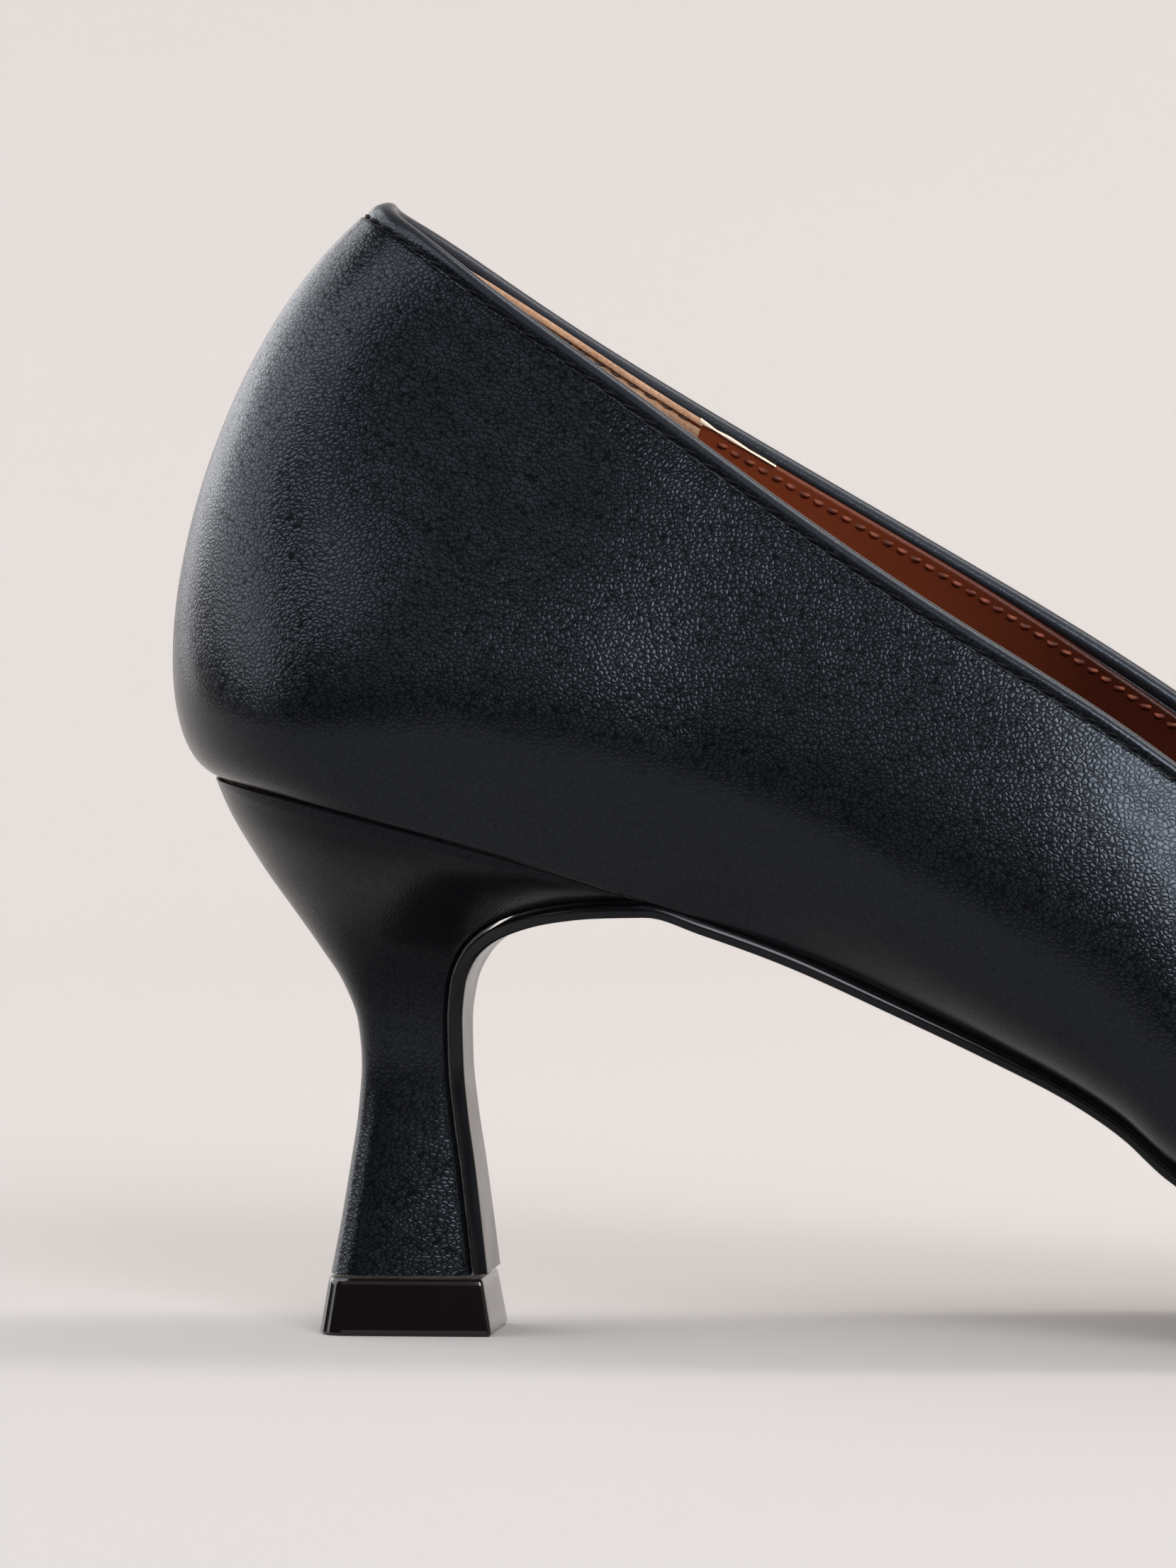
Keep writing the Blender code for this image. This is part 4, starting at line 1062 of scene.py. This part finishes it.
clear = BOW_LEATHER + GAP
low, high = -clear, LOOP[0][1] * BOW_LIFT + clear + GAP
knot_half = LOOP[1][2] * BOW_STRAP / 2 + clear
turn = np.linspace(0, 2 * math.pi, 120, endpoint=False)[:, None]
over = np.linspace(-1, 1, 31)[None, :]
round_x = np.sign(np.cos(turn)) * np.abs(np.cos(turn)) ** 0.5
round_z = np.sign(np.sin(turn)) * np.abs(np.sin(turn)) ** 0.5
top_side = ramp(round_z, 0.0, 0.6)
height = (low + high) / 2 + round_z * (high - low) / 2
height = height + (0.6 * (1 - over ** 2) + 0.18 * np.cos(over * math.pi * 3)) * MM * top_side
grid = on_vamp(round_x * knot_half + 0 * over, over * BOW_KNOT / 2 + 0 * turn, height)
knot = thick_sheet(grid, True, BOW_LEATHER)
add_piece("bow_knot_leather", knot, grid_faces(*knot.shape[:2], True, True), UPPER_LEATHER,
          ("bow_knot",), sharp=70, tones={"grain": np.full(knot.shape[:2], 0.8)})

# %% [markdown]
# ## Floor and light
# A sheet of pale paper lies under the shoe and sweeps up behind it, so there is no horizon. Black
# leather shows what it mirrors, so each light is placed for the patch of sheen that it gives: a
# window and a wall at the left for the back of the shoe, a card behind it for the rim, a box in
# front for the soft patch in the middle, a dim sheet beside it, and a window at the right for the
# front. Two more are there for the paper: one on the sweep and one wide sheet overhead.

# %% Paper sweep
def paper_sweep():
    """Profile of a floor, a quarter circle and a wall, carried straight across."""
    bend, flat, reach = 0.7, 0.55, 3.0
    theta = np.linspace(0, math.pi / 2, 24)[1:]
    y = np.concatenate([[-reach, -1.0, 0.0, flat], flat + bend * np.sin(theta), [flat + bend]])
    z = np.concatenate([[0.0, 0.0, 0.0, 0.0], bend * (1 - np.cos(theta)), [reach]])
    x = np.linspace(-reach, reach, 7)
    grid = np.stack([x[:, None] + 0 * y, 0 * x[:, None] + y, 0 * x[:, None] + z], -1)
    mesh = bpy.data.meshes.new("paper_sweep")
    mesh.from_pydata(grid.reshape(-1, 3), [], grid_faces(7, len(y)))
    mesh.polygons.foreach_set("use_smooth", np.ones(len(mesh.polygons), bool))
    sweep = bpy.data.objects.new("paper_sweep", mesh)
    bpy.context.scene.collection.objects.link(sweep)
    return sweep


paper, paper_tree, paper_shader = new_finish("pale_paper")
place = add_node(paper_tree, "TexCoord")
fibre = add_node(paper_tree, "TexNoise", {}, {"Vector": place.outputs["Object"], "Scale": 4.0})
shade = add_node(paper_tree, "Mix", {"data_type": "RGBA"},
                 {0: fibre.outputs["Fac"], 6: linear("#aca7a3"), 7: linear("#b0aba7")})
paper_tree.links.new(shade.outputs[2], paper_shader.inputs["Base Color"])
paper_shader.inputs["Roughness"].default_value = 0.9
paper_shader.inputs["Specular IOR Level"].default_value = 0.1
# From behind, the paper is clear, so that the shoe can be looked at from every side.
faced = add_node(paper_tree, "NewGeometry")
unseen = add_node(paper_tree, "BsdfTransparent")
sheet = add_node(paper_tree, "MixShader", {},
                 {0: faced.outputs["Backfacing"], 1: paper_shader.outputs["BSDF"], 2: unseen.outputs["BSDF"]})
paper_tree.links.new(sheet.outputs[0], paper_tree.nodes["Material Output"].inputs["Surface"])
sweep = paper_sweep()
sweep.data.materials.append(paper)
print("paper sweep in place")

# %% Lights
def soft_light(name, place, aim, wide, high, power, colour):
    """A rectangular light that faces its aim."""
    data = bpy.data.lights.new(name, "AREA")
    data.shape = "RECTANGLE"
    data.size, data.size_y = wide, high
    data.energy = power
    data.color = linear(colour)[:3]
    light = bpy.data.objects.new(name, data)
    light.location = place
    light.rotation_euler = (Vector(aim) - Vector(place)).to_track_quat("-Z", "Y").to_euler()
    bpy.context.scene.collection.objects.link(light)
    return light


soft_light("left_window", (-1.25, 0.42, 0.72), (-0.05, 0.0, 0.05), 2.2, 1.0, 21, "#f6f9ff")
soft_light("left_wall", (-0.78, -0.46, 1.05), (-0.08, 0.0, 0.08), 0.70, 0.80, 5.8, "#f0f6ff")
soft_light("back_card", (-0.72, 0.86, 0.24), (-0.1, 0.0, 0.06), 0.70, 0.46, 1.6, "#f6f9ff")
soft_light("front_box", (0.371, -1.173, 0.75), (-0.024, -0.027, 0.05), 0.62, 0.595, 18, "#f4f8ff")
soft_light("front_sheet", (-0.415, -1.139, 0.75), (0.0, 0.0, 0.05), 1.25, 0.75, 1.1, "#f4f8ff")
soft_light("right_window", (1.32, -0.115, 0.704), (0.0, 0.0, 0.05), 2.0, 1.1, 9, "#fffaf6")
soft_light("backdrop_light", (0.85, 0.30, 0.95), (0.72, 1.1, 0.20), 1.6, 0.5, 14.5, "#fffaf6")
# This sheet stands in for a whole bright room above, which is too wide to throw a shadow.
overhead = soft_light("ceiling_bounce", (1.25, 0.4, 1.9), (0.5, 0.3, 0.0), 2.4, 2.0, 31, "#fffaf6")
overhead.data.use_shadow = False
world = bpy.data.worlds.new("studio")
world.use_nodes = True
world.node_tree.nodes["Background"].inputs["Color"].default_value = linear("#c3d3ee")
world.node_tree.nodes["Background"].inputs["Strength"].default_value = 0.07
bpy.context.scene.world = world
